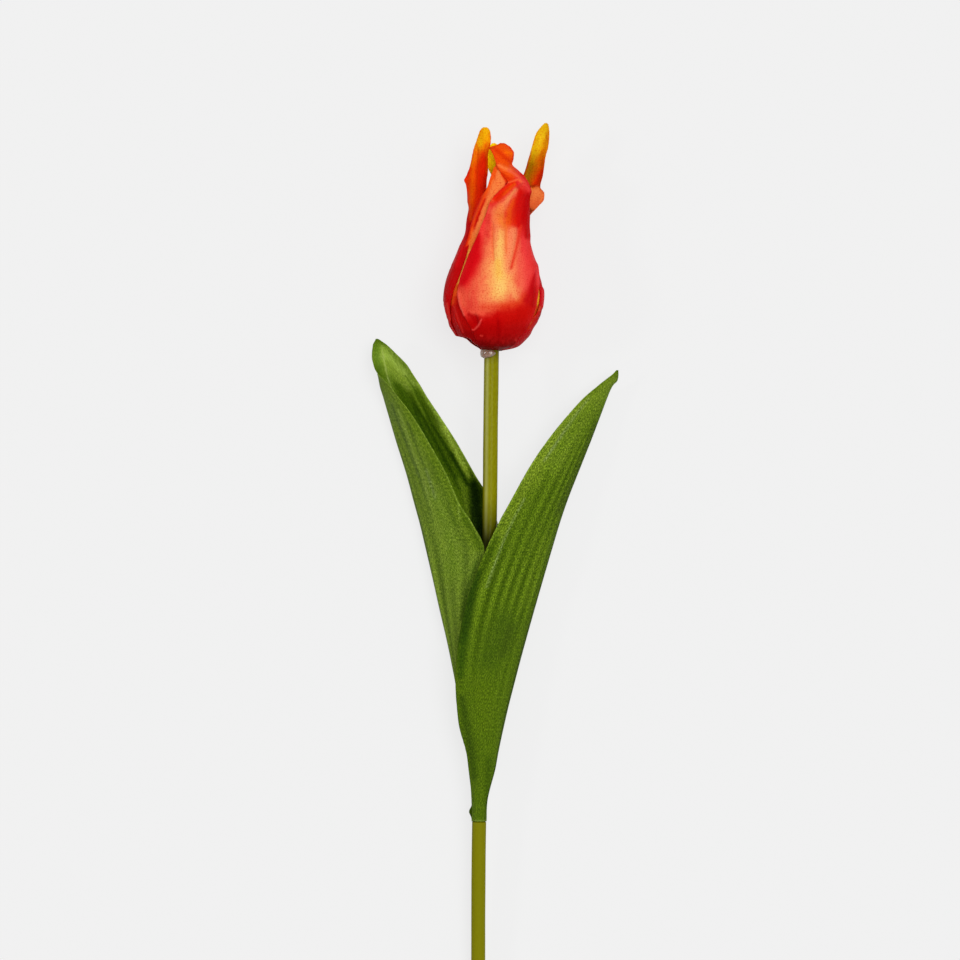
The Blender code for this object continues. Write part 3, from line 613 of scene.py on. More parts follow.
# How deep a petal's section lies under the form at its first edge, its middle and its last edge.
UNDER, DEEP = 0.95 * MM, 1.9 * MM
LEFT_TUCK, RIGHT_TUCK = 1.45 * MM, 1.25 * MM  # of the outer petals' covered edges
PRESS = 0.55 * MM  # of the left petal's edge, pressed in
USUAL_DEPTHS = {
    "petal_front": (0, 0, 0),
    "petal_inner_left": (UNDER, UNDER, UNDER),
    "petal_left": (LEFT_TUCK, 0, PRESS),
    "petal_right": (RIGHT_TUCK, 0, 0),
    "petal_inner_right": (DEEP, DEEP, DEEP),
    "petal_inner_back": (DEEP, DEEP, DEEP),
}
# Each petal's sections on the form, from its foot up: height, edge angles, and any depths other than its
# usual ones. Then its sections free of the form, up to its tip: y, first edge (x, z), last edge (x, z),
# bulge (x, z).
PETALS = {
    "petal_front": (
        [
            (0.05, -50, 52), (1.4, -32, 50), (4.2, -30, 50), (8, -30, 53), (13, -35, 58), (19, -41, 60),
            (25, -45, 63), (31.5, -45, 70), (38, -43.3, 83), (42, -43, 88), (49.7, -37, 91),
            (56, -32, 91), (61, -25, 91, (0, 0, 0.5 * PRESS)), (66, -20, 91, (0, 0, 1.4 * PRESS)),
            (71.5, -3, 90, (0, 0, 1.4 * PRESS)),
        ],
        [
            (197.6, (5.5, 36), (14.6, 24.5), (2.2, 2.6)), (200.5, (3.4, 35.5), (13, 25), (2, 2.6)),
            (203.2, (1.4, 34.5), (10.2, 25.5), (1.6, 2.6)), (205.9, (0.3, 33.5), (7.7, 26), (1.1, 2.6)),
            (208.6, (-0.5, 32.6), (8, 26), (1.1, 2.4)), (211, (-1.4, 31.5), (8, 26), (1, 2.2)),
            (212.4, (-2.3, 30.6), (7.5, 26), (0.8, 2)), (213.4, (-3.2, 30), (6.9, 26.1), (0.6, 1.8)),
            (214.1, (-1.3, 29.6), (6.3, 26.2), (0.4, 1.5)), (214.8, (0.9, 29), (5.3, 26.5), (0.2, 1)),
            (215.6, (2.3, 28.2), (3.9, 27), (0.1, 0.4)),
        ],
    ),
    "petal_inner_left": (
        [
            (0.05, -128, -5), (1.4, -125, 0), (4.2, -120, 5), (8, -114, 8), (13, -106, 10), (19, -98, 12),
            (25, -90, 12), (31.5, -83, 12), (38, -74, 10), (45, -66, 8),
            (52, -61, 8, (0.7 * UNDER, UNDER, UNDER)), (58.7, -58, 10, (0.5 * UNDER, UNDER, UNDER)),
            (63.2, -53, 16, (0.5 * UNDER, UNDER, UNDER)), (67.7, -45, 20, (0.5 * UNDER, UNDER, UNDER)),
            (71.5, -30, 22, (0.5 * UNDER, UNDER, UNDER)),
        ],
        [
            (200.5, (-1.6, 33), (5, 33.6), (0, 1)), (204.5, (-0.2, 32.6), (4.5, 32.8), (0, 0.8)),
            (208.1, (0.9, 31.4), (3.6, 31.2), (0, 0.4)),
        ],
    ),
    "petal_left": (
        [
            (0.05, -165, -92), (1.4, -165, -90), (4.2, -165, -86), (8, -165, -79), (13, -165, -71),
            (19, -165, -64), (25, -165, -57), (31.5, -165, -50.5), (38, -163, -49.5), (42, -163, -50.5),
            (46, -162, -54, (LEFT_TUCK, 0, 1.4 * PRESS)), (51, -160, -60, (LEFT_TUCK, 0, 3.5 * PRESS)),
        ],
        [
            (180.7, (-7.6, 12.5), (-9.8, 26.2), (-4.1, -0.2)),
            (185.6, (-9.4, 13), (-8.2, 25.6), (-3.2, 0.2)),
            (190.1, (-12.4, 14.5), (-6.6, 23.5), (-1.9, 1.2)),
            (194.6, (-12.8, 16), (-4.1, 21), (-0.8, 1.6)),
            (197.4, (-13.2, 16.8), (-4, 20.8), (-0.5, 1.6)),
            (199.3, (-14.1, 17.3), (-3.9, 20.5), (-0.3, 1.6)),
            (200.9, (-13.3, 17.6), (-3.7, 20.4), (-0.2, 1.6)),
            (202.7, (-12.5, 18), (-3.4, 20.3), (-0.2, 1.5)),
            (206.5, (-11.3, 18.6), (-3.2, 20.2), (-0.2, 1.3)),
            (212.6, (-10, 19.4), (-2.6, 20.4), (-0.1, 1)), (218, (-8.2, 20), (-2, 20.8), (0, 0.8)),
            (221.2, (-7.1, 20.4), (-2.3, 21), (0, 0.6)), (222.5, (-6.2, 20.7), (-3.2, 21), (0, 0.3)),
            (223, (-5.5, 20.8), (-3.8, 21), (0, 0.1)),
        ],
    ),
    "petal_right": (
        [
            (0.05, 42, 180), (1.4, 40, 190), (4.2, 40, 198), (8, 42, 203), (12, 52, 205),
            (16, 68, 205, (0.2 * RIGHT_TUCK, 0, 0)), (20, 72, 205, (0.2 * RIGHT_TUCK, 0, 0)),
            (25, 72, 205, (0.2 * RIGHT_TUCK, 0, 0)), (30, 71, 205, (0.6 * RIGHT_TUCK, 0, 0)),
            (34, 69, 205, (1.15 * RIGHT_TUCK, 0, 0)), (38, 72, 205, (1.1 * RIGHT_TUCK, 0, 0)),
            (45, 80, 205), (52, 86, 204), (58, 98, 202),
        ],
        [
            (187.6, (19.6, 20.4), (1, 9.3), (2.9, -2.7)), (190.6, (21.9, 21.2), (3.5, 9.8), (2.5, -2.5)),
            (193.3, (22.1, 21.4), (6, 10.5), (2.2, -2.2)), (196, (20.2, 20.6), (9, 11.5), (1.6, -1.6)),
            (201.8, (21.5, 20), (12.6, 13.5), (0.8, -1.4)),
            (208.8, (22.4, 20.5), (14.9, 17), (0.5, -1.2)), (215, (24, 21), (16.6, 18.3), (0.3, -1)),
            (220.3, (24.4, 21.5), (18.4, 19.4), (0.2, -0.7)),
            (223.4, (24, 21.6), (20.7, 20.4), (0.1, -0.3)),
            (224.9, (23.3, 21.5), (22.2, 21.2), (0, -0.1)),
        ],
    ),
    "petal_inner_right": (
        [
            (0.05, 25, 120), (1.4, 25, 125), (8, 25, 125), (13, 25, 125, (DEEP, 1.9 * PRESS, DEEP)),
            (25, 25, 125, (DEEP, 1.9 * PRESS, DEEP)), (31.5, 25, 125, (DEEP, 1.9 * PRESS, DEEP)),
            (38, 25, 125), (52, 25, 122), (58, 26, 118), (65, 28, 112),
        ],
        [
            (194, (7, 31.5), (13, 19), (2.3, 1.8)), (198.5, (7.2, 30.5), (11, 21.5), (1.4, 1)),
            (202.5, (7.2, 28.5), (8.6, 24), (0.5, 0.3)),
        ],
    ),
    "petal_inner_back": (
        [
            (0.05, 140, 225), (1.4, 137, 228), (8, 135, 228), (25, 135, 228), (38, 135, 228),
            (52, 138, 226), (58, 140, 224),
        ],
        [
            (188, (8.1, 15), (-5, 15.5), (0, -2.6)), (194.6, (7.2, 18), (-0.9, 18.5), (0, -2)),
            (200.9, (6.8, 22), (-1.7, 22.5), (0, -1)), (205, (5.7, 25), (-3.3, 25), (0, -0.4)),
            (209.5, (4.3, 26.4), (-3.3, 25.8), (0, 0.3)), (212.6, (2.7, 26.8), (-2.8, 26), (0, 0.3)),
            (214.9, (0.9, 27), (-2.1, 26.2), (0, 0.2)), (215.6, (-0.2, 27), (-1.3, 26.4), (0, 0.1)),
        ],
    ),
}


# ---------------------------------------------------------------- what is printed, painted as light and shade, and pressed on each petal

# Dyes and painted light, laid one over another as seen from above: the print, and painted highlights on
# ridges and painted shade in hollows, creases and towards the bloom's foot. Each has a display colour,
# strength, hardness of the edge, and one or more paths of (x, y, half-width).
PRINT_AND_PAINTED_LIGHT = {}
PRINT_AND_PAINTED_LIGHT["petal_front"] = [
    ((240, 60, 56), 0.9, 1, [(-4.6, 189, 2), (-6, 180, 2.8), (-6.4, 175, 2.4)]),
    ((243, 130, 82), 0.95, 1.4,
        [(0.6, 184, 3.2), (1.6, 176.5, 4.6), (2, 170, 6.6), (2.1, 164.2, 7.6)],
        [(2.1, 164.2, 7.6), (2.1, 157.9, 9.6)],
    ),
    ((243, 122, 80), 0.95, 1, [(0.8, 156, 10), (-1.5, 149, 12), (-2, 145, 11)]),
    ((230, 84, 60), 0.7, 1, [(-14.6, 149, 2.7), (-13.8, 142.6, 2.4)]),
    ((208, 10, 20), 1, 1.2,
        [(-7.8, 174.1, 1.2), (-8.6, 169.6, 2.4), (-9.8, 164.2, 3.2)],
        [(-9.8, 164.2, 3.2), (-11.8, 157.9, 3.4), (-14.4, 153, 2.4)],
    ),
    ((236, 60, 60), 0.9, 1, [(13, 172, 2.2), (13.2, 166, 3.4), (13.6, 158, 4.2), (13.4, 152, 3.2)]),
    ((245, 104, 80), 0.6, 1, [(11, 165, 1.6), (11.6, 157, 2.4), (11.6, 151, 2.6)]),
    ((214, 28, 48), 0.6, 1, [(15.8, 173, 0.8), (17.2, 166, 0.8), (18.6, 161, 0.6)]),
    ((243, 178, 96), 0.9, 1,
        [(2.6, 175, 2), (2.3, 170, 2.6), (1.6, 164.2, 3.4), (1.6, 157.9, 4.6)],
        [(1.6, 157.9, 4.6), (2.1, 151.6, 6.2), (1.2, 147.6, 5.4)],
    ),
    ((244, 140, 92), 0.9, 1.4, [(8.2, 176, 2.2), (7.8, 168, 2.9), (6.4, 158.5, 2.6)]),
    ((244, 196, 104), 0.7, 1,
        [(2.2, 171, 1.2), (1.8, 166, 2), (1.6, 160, 2.2), (2, 153, 3.4), (2.2, 149.8, 3.4)],
    ),
    ((240, 180, 62), 0.45, 1, [(1, 162, 1.2), (1.3, 157, 1.6), (1.8, 154, 1.3)]),
    ((246, 208, 116), 0.5, 1, [(2.2, 153.4, 1.8), (2.8, 149.8, 2)]),
    ((226, 66, 38), 0.6, 1, [(-5.6, 141.4, 1.6), (0.4, 141.8, 1.8)]),
    ((230, 78, 32), 0.75, 1, [(3.4, 141.2, 2.2), (8.6, 142.4, 2.6), (13.6, 145.4, 2.4)]),
    ((200, 14, 8), 0.98, 1.5, [(3.6, 136.8, 5), (9.2, 137.2, 5.2), (14.4, 140, 4.3)]),
    ((198, 9, 8), 0.98, 2, [(-15, 132.6, 4.4), (-6.4, 133.1, 4.8), (-0.6, 134.4, 4.9)]),
    # Painted shade: the red print darkened towards the bloom's foot, here and in the next stroke.
    ((174, 3, 4), 0.85, 1, [(-12, 129.4, 4.6), (1, 129.8, 5), (13.5, 131.2, 5.2)]),
    ((118, 0, 2), 0.95, 1, [(-8, 123.6, 4), (3, 123.2, 4.4), (13, 124.2, 4)]),
    # Painted shade in the groove up the middle of the foot.
    ((150, 0, 4), 0.45, 1, [(1.2, 135.5, 0.6), (1.4, 130, 0.9), (1.4, 124, 1.2)]),
    ((246, 164, 98), 0.8, 1, [(6.8, 151, 1.6), (8.4, 148.6, 2.2), (9, 146.4, 1.8)]),
    # Painted shadow on the right flank.
    ((178, 6, 6), 0.85, 1, [(17.2, 150, 1.2), (17, 146.5, 1.5), (16.4, 143, 1.4)]),
    ((238, 98, 68), 0.6, 1, [(-15.2, 147, 1.4), (-14.4, 143, 1.3)]),
    # Painted shadow on the right flank, going on.
    ((186, 5, 14), 0.85, 1, [(18.2, 158.5, 0.4), (16.8, 153, 1.2), (15.8, 148.5, 1.9), (14, 144.6, 1.8)]),
    ((238, 84, 92), 0.45, 1, [(18.4, 158, 1.2), (19.6, 152, 0.9)]),
    ((236, 124, 46), 0.85, 1, [(2.1, 185, 1.8), (2.6, 180.4, 2.3), (3.9, 178, 1.8)]),
    ((229, 84, 20), 0.95, 1.2, [(5.8, 179.8, 1.8), (6.2, 185.4, 1.8), (8.4, 189, 1.5)]),
    ((220, 42, 12), 0.95, 1.2, [(9.2, 179.8, 2.1), (9.8, 187, 2.3), (11.2, 192.6, 1.8)]),
    ((212, 16, 12), 0.97, 1.2,
        [(10.7, 178.4, 1.5), (10.6, 184.9, 2.1), (11, 190.3, 1.8), (11.6, 194.8, 1.2)],
    ),
    # Painted shade in the hollow down the right of the neck.
    ((186, 2, 5), 0.97, 1.3,
        [(14.3, 173.4, 1.2), (14.3, 177.7, 2.2), (14.3, 182.2, 2.9), (14.6, 191, 2.3)],
    ),
    ((234, 78, 10), 1, 2, [(2.4, 213, 6.2), (3.6, 207, 5.8), (5.5, 202, 4)]),
    # Painted shade in the pocket under the hood's fold.
    ((222, 50, 4), 0.9, 1.5, [(2.2, 201.8, 0.9), (4.8, 199, 1.5), (7.8, 198, 1.3)]),
    ((224, 38, 6), 0.95, 1.5, [(-1.6, 189.6, 1.5), (1.2, 190.6, 1.7), (4.2, 194, 1.5), (7, 196.4, 1.2)]),
    # Painted highlight along the diagonal ridge.
    ((246, 142, 86), 0.95, 1, [(8.8, 194.4, 0.9), (6, 190.6, 1.5), (3, 186.4, 2)]),
    ((234, 80, 12), 0.9, 1, [(8.6, 196.6, 0.8), (6, 194.4, 1), (3.9, 192.1, 0.8)]),
    ((244, 126, 66), 0.8, 1, [(2.4, 186, 1.8), (0.4, 182.4, 1.6)]),
    # Painted highlight along the rolled ridge under the hood, here and in the next stroke.
    ((247, 126, 62), 0.9, 1, [(1.4, 205.3, 0.8), (3.9, 203.9, 1.1), (6.4, 203, 1)]),
    ((238, 96, 64), 0.9, 1, [(6.4, 203, 1), (8.4, 201.6, 0.9), (10.2, 200, 0.9), (12.2, 197.6, 1.2)]),
    ((238, 66, 60), 0.75, 1, [(11.4, 199, 0.9), (13.4, 196.6, 1.2), (14.8, 194.4, 0.8)]),
    # Painted highlight on the lower lip of the fold.
    ((242, 106, 60), 0.85, 1, [(5.7, 197.4, 0.35), (8, 198.2, 0.4), (10.2, 198.8, 0.5), (11.6, 198, 0.5)]),
    # Painted highlight on the hood's roll.
    ((247, 108, 8), 0.9, 1, [(4.8, 211.4, 1.4), (6.8, 210.8, 1.5)]),
    # Painted shade in the hood's crease.
    ((216, 50, 2), 0.8, 1, [(0, 212.6, 0.9), (3, 210, 1.1), (6.6, 207, 0.8)]),
    ((202, 40, 8), 0.5, 1, [(8.4, 209, 0.6), (8.2, 205.6, 0.7)]),
    ((212, 72, 4), 0.8, 1, [(-3, 213.8, 0.6), (0, 214.6, 0.7), (3, 215.2, 0.6)]),
    # Painted shade under the hood's curled tip.
    ((160, 60, 8), 0.55, 1, [(-3.4, 213, 0.4), (-1.6, 213, 0.4), (-0.2, 213.4, 0.3)]),
    # Painted shade along the neck's three creases, here and in the next two strokes.
    ((222, 54, 34), 0.85, 1,
        [(11.4, 178, 0.6), (10.4, 173.5, 0.7), (9.6, 169.5, 0.7), (8.4, 164.2, 0.8), (7, 159, 0.7)],
    ),
    ((230, 104, 56), 0.65, 1, [(-1.3, 177.6, 0.5), (-1.3, 170, 0.6), (-0.8, 162.4, 0.4)]),
    ((235, 116, 54), 0.6, 1, [(4.8, 177.4, 0.7), (4.6, 172.5, 0.7), (4.8, 166, 0.4)]),
    # Painted shade in the hollow at the left of the foot.
    ((172, 2, 6), 0.8, 1.3, [(-11.6, 138.4, 0.9), (-9, 136.6, 1.9), (-8.4, 134.6, 1.9)]),
    ((244, 88, 64), 0.85, 1, [(-10.6, 139.6, 1), (-8, 139.2, 1.2), (-5.6, 138.6, 1.1)]),
    # Painted highlight along the curled edge by that hollow.
    ((226, 80, 72), 0.9, 1,
        [(-11.6, 131.4, 0.3), (-9.4, 131.6, 0.35), (-7.6, 133.2, 0.4), (-6.2, 136.2, 0.35)],
    ),
    ((240, 104, 84), 0.6, 1, [(-16.7, 149.5, 0.5), (-15.9, 143, 0.6), (-13.9, 138.1, 0.5)]),
    ((224, 60, 50), 0.8, 1, [(-6.6, 129, 0.4), (-5.8, 128.8, 0.35)]),
    ((210, 50, 44), 0.8, 1, [(9, 127.3, 0.5), (9.6, 126.4, 0.4)]),
    ((246, 134, 92), 0.5, 1, [(9.4, 194, 0.8), (8.6, 191.8, 0.9)]),
    ((238, 84, 68), 0.5, 1, [(10.8, 196, 0.6), (12.2, 194.8, 0.8)]),
    ((244, 130, 76), 0.5, 1, [(-2.4, 189.8, 0.9), (-1.2, 189, 0.8)]),
]
PRINT_AND_PAINTED_LIGHT["petal_inner_left"] = [
    ((188, 8, 6), 1, 1, [(-16, 146, 5), (-17, 138, 5), (-13, 131, 6)]),
    ((150, 2, 4), 0.85, 1, [(-17.6, 131.4, 2.2), (-12, 129.6, 2), (-8, 125.5, 2.4)]),
    ((208, 50, 44), 0.8, 1, [(-18.4, 142, 0.35), (-16.6, 136.4, 0.4), (-14.4, 130.6, 0.4)]),
    ((236, 112, 30), 0.95, 1.2, [(-17.2, 153.5, 1.2), (-18.4, 148.5, 1.8)]),
    ((238, 80, 22), 0.9, 1, [(-18.6, 147.4, 1.6), (-19.3, 144.2, 1.7)]),
    ((212, 22, 4), 1, 1, [(-4, 195, 1.6), (-7, 188, 1.8), (-11, 178, 2), (-13, 168, 1.5)]),
    ((236, 86, 22), 1, 1.3, [(1.2, 207, 2.6), (-0.8, 200.4, 2.2), (-3, 195.6, 1.4), (-4.8, 192, 1.1)]),
    ((232, 72, 22), 0.95, 1, [(-4.6, 192.4, 1.1), (-6.8, 187.4, 1), (-9.2, 181.8, 0.8), (-10.6, 176, 0.7)]),
    ((238, 88, 28), 0.9, 1, [(-10.4, 176.5, 0.7), (-13, 166, 0.9), (-15.6, 158, 0.9)]),
    ((240, 126, 52), 0.95, 2, [(-9, 174.5, 1.5), (-12, 166.5, 1.4)]),
    ((255, 180, 74), 0.95, 2, [(-12, 166.5, 1.4), (-15.2, 157.9, 1.4), (-17, 153, 1.2)]),
    ((240, 126, 62), 1, 3, [(1.4, 202.6, 0.9), (2, 198.4, 2.9), (-0.8, 192.2, 2.7), (-4.9, 184.4, 1.7)]),
    ((238, 124, 62), 1, 3, [(-4.9, 184.4, 1.7), (-8.6, 174.8, 1.6)]),
    ((228, 48, 8), 0.9, 1.5, [(5.2, 198, 0.7), (2.8, 201.4, 0.5)]),
]
PRINT_AND_PAINTED_LIGHT["petal_left"] = [
    ((194, 4, 8), 1, 1, [(-12.5, 174, 5), (-19, 155, 6), (-21, 144, 5)]),
    ((210, 20, 26), 0.7, 1, [(-14.6, 169, 0.7), (-17.4, 160, 0.9)]),
    ((150, 0, 6), 0.5, 1, [(-20.5, 161, 1.4), (-23.2, 151, 1.6), (-23.4, 145, 1.2)]),
    # Painted highlight along the left petal's rolled edge.
    ((222, 80, 62), 0.6, 1, [(-21.6, 143.4, 0.5), (-20.9, 139, 0.6), (-20.2, 136, 0.5)]),
    ((222, 38, 2), 1, 1.5, [(-5, 214, 5), (-8, 200, 6), (-9.6, 188.5, 4)]),
    ((230, 90, 3), 0.95, 1, [(-9, 208, 1.4), (-10.2, 202, 1.7), (-10.4, 195, 1.8), (-10.8, 188, 1.4)]),
    ((214, 70, 2), 0.9, 1, [(-10.8, 188, 1.4), (-11, 184.5, 1.2), (-11, 181, 0.8)]),
    ((228, 34, 2), 0.85, 1, [(-5.6, 203, 1.2), (-6.2, 196, 1.7), (-7, 190, 2), (-8.6, 184, 1.8)]),
    ((234, 100, 4), 0.85, 1, [(-6, 214.6, 2.6), (-8.4, 209.6, 1.9)]),
    ((234, 112, 4), 0.8, 1, [(-4, 213.4, 1.6), (-3.2, 208, 0.9), (-3.6, 203, 0.6)]),
    ((232, 124, 6), 0.8, 1, [(-8.6, 213.4, 1.6), (-9.9, 209, 1), (-10.8, 205.6, 0.7)]),
    ((236, 176, 8), 1, 1.3, [(-4.4, 223, 5.2), (-5.2, 218.8, 4.6), (-7, 216.4, 3.2)]),
    ((240, 170, 4), 0.8, 1.2, [(-3.6, 217.6, 1.6)]),
    ((226, 148, 6), 0.5, 1, [(-8, 219, 0.9), (-6, 220.4, 0.7), (-5.2, 217, 0.8)]),
    ((240, 60, 8), 0.95, 1, [(-13.6, 200.8, 1), (-13.6, 198, 1.5), (-12.7, 194.6, 1)]),
]
PRINT_AND_PAINTED_LIGHT["petal_right"] = [
    ((192, 4, 14), 1, 1, [(19, 170, 6), (20, 150, 6), (18, 135, 6)]),
    ((200, 42, 14), 0.9, 1, [(18.6, 140.4, 1), (16.6, 136.6, 1.4), (14.8, 132.6, 1)]),
    ((216, 112, 48), 0.6, 1, [(20, 142, 0.5), (19.4, 140.6, 0.6)]),
    ((236, 92, 92), 0.5, 1, [(21.2, 149.5, 0.6), (21.3, 142.6, 0.7)]),
    ((120, 0, 6), 0.7, 1, [(20.6, 139.6, 0.5), (19.6, 136.2, 0.5)]),
    ((200, 96, 3), 1, 2, [(22.5, 213, 5), (19, 203, 6), (17, 197, 5)]),
    ((200, 164, 8), 0.95, 1.1, [(17.6, 213, 2.3), (16.4, 208, 2.2)]),
    ((168, 124, 3), 0.95, 1, [(16, 206.2, 2), (15, 203, 2.2), (14, 199.8, 2.3), (13.5, 197, 2)]),
    ((226, 46, 2), 0.95, 1, [(21.4, 204.4, 1.1), (20, 200.6, 1.9), (18.6, 197.5, 2.2)]),
    ((228, 136, 3), 0.9, 1, [(23, 214, 1.8), (21.6, 209.6, 1.5)]),
    ((232, 104, 2), 0.85, 1, [(22, 208.6, 1.2), (21.2, 205, 1)]),
    ((230, 188, 16), 1, 1.2, [(22.4, 224, 4.8), (20.4, 218.5, 4.6), (18.4, 213.8, 3.1)]),
    ((226, 142, 3), 0.7, 1, [(24.6, 219, 0.8), (24.2, 214, 0.9), (23, 209, 0.6)]),
    ((234, 196, 30), 0.5, 1, [(21.2, 220.5, 1.2), (19.8, 215.4, 1.2)]),
    # Painted shadow along the flap's upper edge.
    ((150, 34, 8), 0.7, 1, [(14.7, 195.9, 0.5), (17, 196.6, 0.5), (19.8, 196.2, 0.5)]),
    ((244, 138, 70), 1, 4, [(18.6, 191.9, 4.4), (17.2, 188, 3), (16.2, 185.5, 1.6)]),
    ((238, 98, 62), 0.9, 1.2, [(16.6, 187.5, 1.9), (19.4, 188.9, 1.3)]),
]
PRINT_AND_PAINTED_LIGHT["petal_inner_right"] = [
    ((240, 168, 40), 1, 1.4, [(19.6, 151.4, 1.6), (19.4, 146.4, 1.9), (19, 143.8, 1.3)]),
]
PRINT_AND_PAINTED_LIGHT["petal_inner_back"] = [
    ((255, 214, 6), 1, 2, [(-1, 216, 7), (0, 209, 6), (1, 203, 6)]),
]
GROUNDS = {
    "petal_front": (222, 38, 38),
    "petal_inner_left": (176, 6, 10),
    "petal_left": (192, 6, 10),
    "petal_right": (186, 6, 16),
    "petal_inner_right": (202, 66, 18),
    "petal_inner_back": (222, 104, 20),
}
LINING_COLOUR = (226, 108, 52)
# The print and its painted light and shade fade out where the bloom turns down to the table (mm above it),
# but not on the tips (mm along Y), where they also show through to the lining.
MARKS_FROM = (15.0, 21.0)
TIPS_FROM = (184.0, 190.0)
SHOWS_THROUGH_FROM = (186.0, 196.0)
PAINT_WOBBLE = [(0.16, 0.9, 1.6, 0), (0.12, 2.4, 5.0, 1)]
PAINT_SEED = 21

# Ridges (above 0) and grooves (below 0) pressed into each petal: rise (mm), and a path of (x, y, half-width).
FOLDS = {}
FOLDS["petal_front"] = [
    (-0.45, [(16.6, 171, 2.2), (17.4, 167, 2.2), (18.6, 163, 1.8)]),
    (-0.55, [(-1.3, 179, 0.5), (-1.3, 170, 0.6), (-0.8, 162, 0.5)]),
    (-0.5, [(4.8, 179, 0.6), (4.6, 172, 0.7), (4.8, 166, 0.5)]),
    (-0.6, [(10.6, 178, 0.7), (9.5, 172, 0.8), (8.1, 165.4, 0.9), (6.6, 158, 0.8)]),
    (0.5, [(1.7, 178, 1.6), (1.6, 168, 1.6), (2, 158, 1.8)]),
    (0.45, [(7.6, 177, 1.4), (7, 168, 1.4), (5, 159, 1.2)]),
    (-0.7, [(3, 181, 2), (8, 180.8, 2.6), (10.5, 183, 2.6)]),
    (-0.8, [(12.8, 180, 2.6), (12.8, 189, 2.8)]),
    (0.9, [(11, 197.6, 0.9), (7, 194, 1.3), (4.1, 190, 1.6), (1.6, 184.5, 1.6)]),
    (-0.9, [(2.4, 201.6, 0.7), (4.9, 199.2, 1.2), (8.2, 197.8, 1)]),
    (-0.7, [(0, 190.5, 0.8), (3.4, 194, 1), (7.2, 196.4, 0.9)]),
    (0.55, [(1, 205.4, 0.9), (5.8, 203.4, 1.3), (8.8, 201.5, 1.4), (13, 197.4, 1.5), (15, 193.8, 1.3)]),
    (-0.35, [(0.4, 212.2, 0.9), (3.4, 209.8, 1.2), (7.6, 206.6, 1)]),
    (0.4, [(3.6, 212, 1.6), (7, 211, 1.8)]),
    (0.35, [(5.7, 197.4, 0.4), (8, 198.2, 0.5), (10.2, 198.8, 0.6)]),
    (-1, [(-9, 137.4, 1), (-8.6, 134.4, 1.5)]),
    (0.6, [(-11.9, 131.2, 0.4), (-9.6, 131.1, 0.45), (-7.6, 132.9, 0.5), (-6.4, 135.2, 0.4)]),
    (-0.2, [(1.2, 136, 0.8), (1.4, 130, 1.1), (1.4, 124, 1.4)]),
    (0.5, [(-16.4, 148, 0.7), (-15.6, 143, 0.8), (-13.6, 138, 0.7)]),
    (0.35, [(-8.4, 176, 1.4), (-12, 160, 1.8), (-13.5, 150, 1.8)]),
    (-0.35, [(-4.6, 182, 1.2), (-5.6, 168, 1.6), (-7.5, 156, 1.6)]),
]
FOLDS["petal_inner_left"] = [
    (0.7, [(-0.8, 204, 0.8), (-3.4, 195, 0.9), (-6.4, 187.5, 1), (-11, 176, 0.9), (-14.3, 165, 0.7)]),
    (-0.4, [(1.6, 197, 1.4), (-1.2, 190, 1.3), (-5.2, 182, 1), (-9.4, 173, 0.9)]),
    (0.4, [(-17.9, 138.4, 0.5), (-14.6, 130, 0.5)]),
]
FOLDS["petal_left"] = [
    (0.65, [(-16, 172, 2.8), (-17.8, 167, 3.2), (-19.6, 161.5, 2.8)]),
    (-0.6, [(-8.2, 213, 0.7), (-8.9, 204, 0.9), (-9, 195, 0.9), (-9.4, 186, 0.7)]),
    (0.5, [(-5.4, 218, 1.2), (-5.6, 206, 1.5), (-6, 196, 1.5)]),
    (0.4, [(-14.6, 169, 0.8), (-17.4, 160, 1)]),
    (-0.4, [(-17, 170, 1), (-19.6, 160, 1.2)]),
    (0.5, [(-21.8, 147, 0.7), (-21.2, 139, 0.8)]),
]
FOLDS["petal_right"] = [
    (-0.45, [(16.6, 171, 2.2), (17.4, 167, 2.2), (18.6, 163, 1.8)]),
    (-0.5, [(19.6, 218, 0.9), (17.4, 208, 1.2), (15.6, 200, 1.2)]),
    (0.4, [(22.4, 219, 0.8), (20, 206, 1.2)]),
    (0.5, [(21.2, 150, 0.7), (21.2, 142, 0.8)]),
]
FOLDS["petal_inner_right"] = []
FOLDS["petal_inner_back"] = [
    (-0.4, [(-0.8, 214, 0.8), (0.4, 204, 1)]),
]
WRINKLES = [(0.16, 3.2, 17.0, 0), (0.07, 1.3, 8.0, 5)]  # the cloth's own fine long wrinkles, in mm

# Where the print's face is matt: one path for each petal that has such a part.
MATT_PARTS = {
    "petal_inner_left": [
        (2.3, 199, 4.2), (-1, 191.6, 2.6), (-4.9, 183.4, 1.8), (-8.6, 174.6, 1.9), (-13, 164, 1),
    ],
    "petal_right": [(18.6, 192, 5)],
}
# How finely each petal is divided, how ragged its edges are (mm) and its seed.
PETAL_GRIDS = {
    "petal_front": (120, 270, 0.08, 1),
    "petal_inner_left": (90, 210, 0.08, 2),
    "petal_left": (110, 240, 0.07, 3),
    "petal_right": (110, 240, 0.07, 4),
    "petal_inner_right": (50, 110, 0.1, 5),
    "petal_inner_back": (50, 130, 0.08, 6),
}
# The frayed edge's long and short waves, in the grid's steps, and how strong the short ones are.
FRAY_LONG, FRAY_SHORT, FRAY_SHORT_SHARE = 3.1, 1.3, 0.6
# Where they are read from the noise, so that the edges differ, and what the short ones add to the seed.
FRAY_EDGE_STEP, FRAY_LONG_PLACE, FRAY_SHORT_PLACE, FRAY_SHIFT = 7.0, 0.5, 4.5, 9
# Flaps pressed level: x, y, radius, height (mm).
FLATS = {"petal_right": (18.6, 191.0, 5.4, 20.8)}
FLAT_EDGE = (1.35, 0.9)  # shares of a flap's radius, over which it comes level
FLAT_SHARE = 0.85  # how nearly level it comes
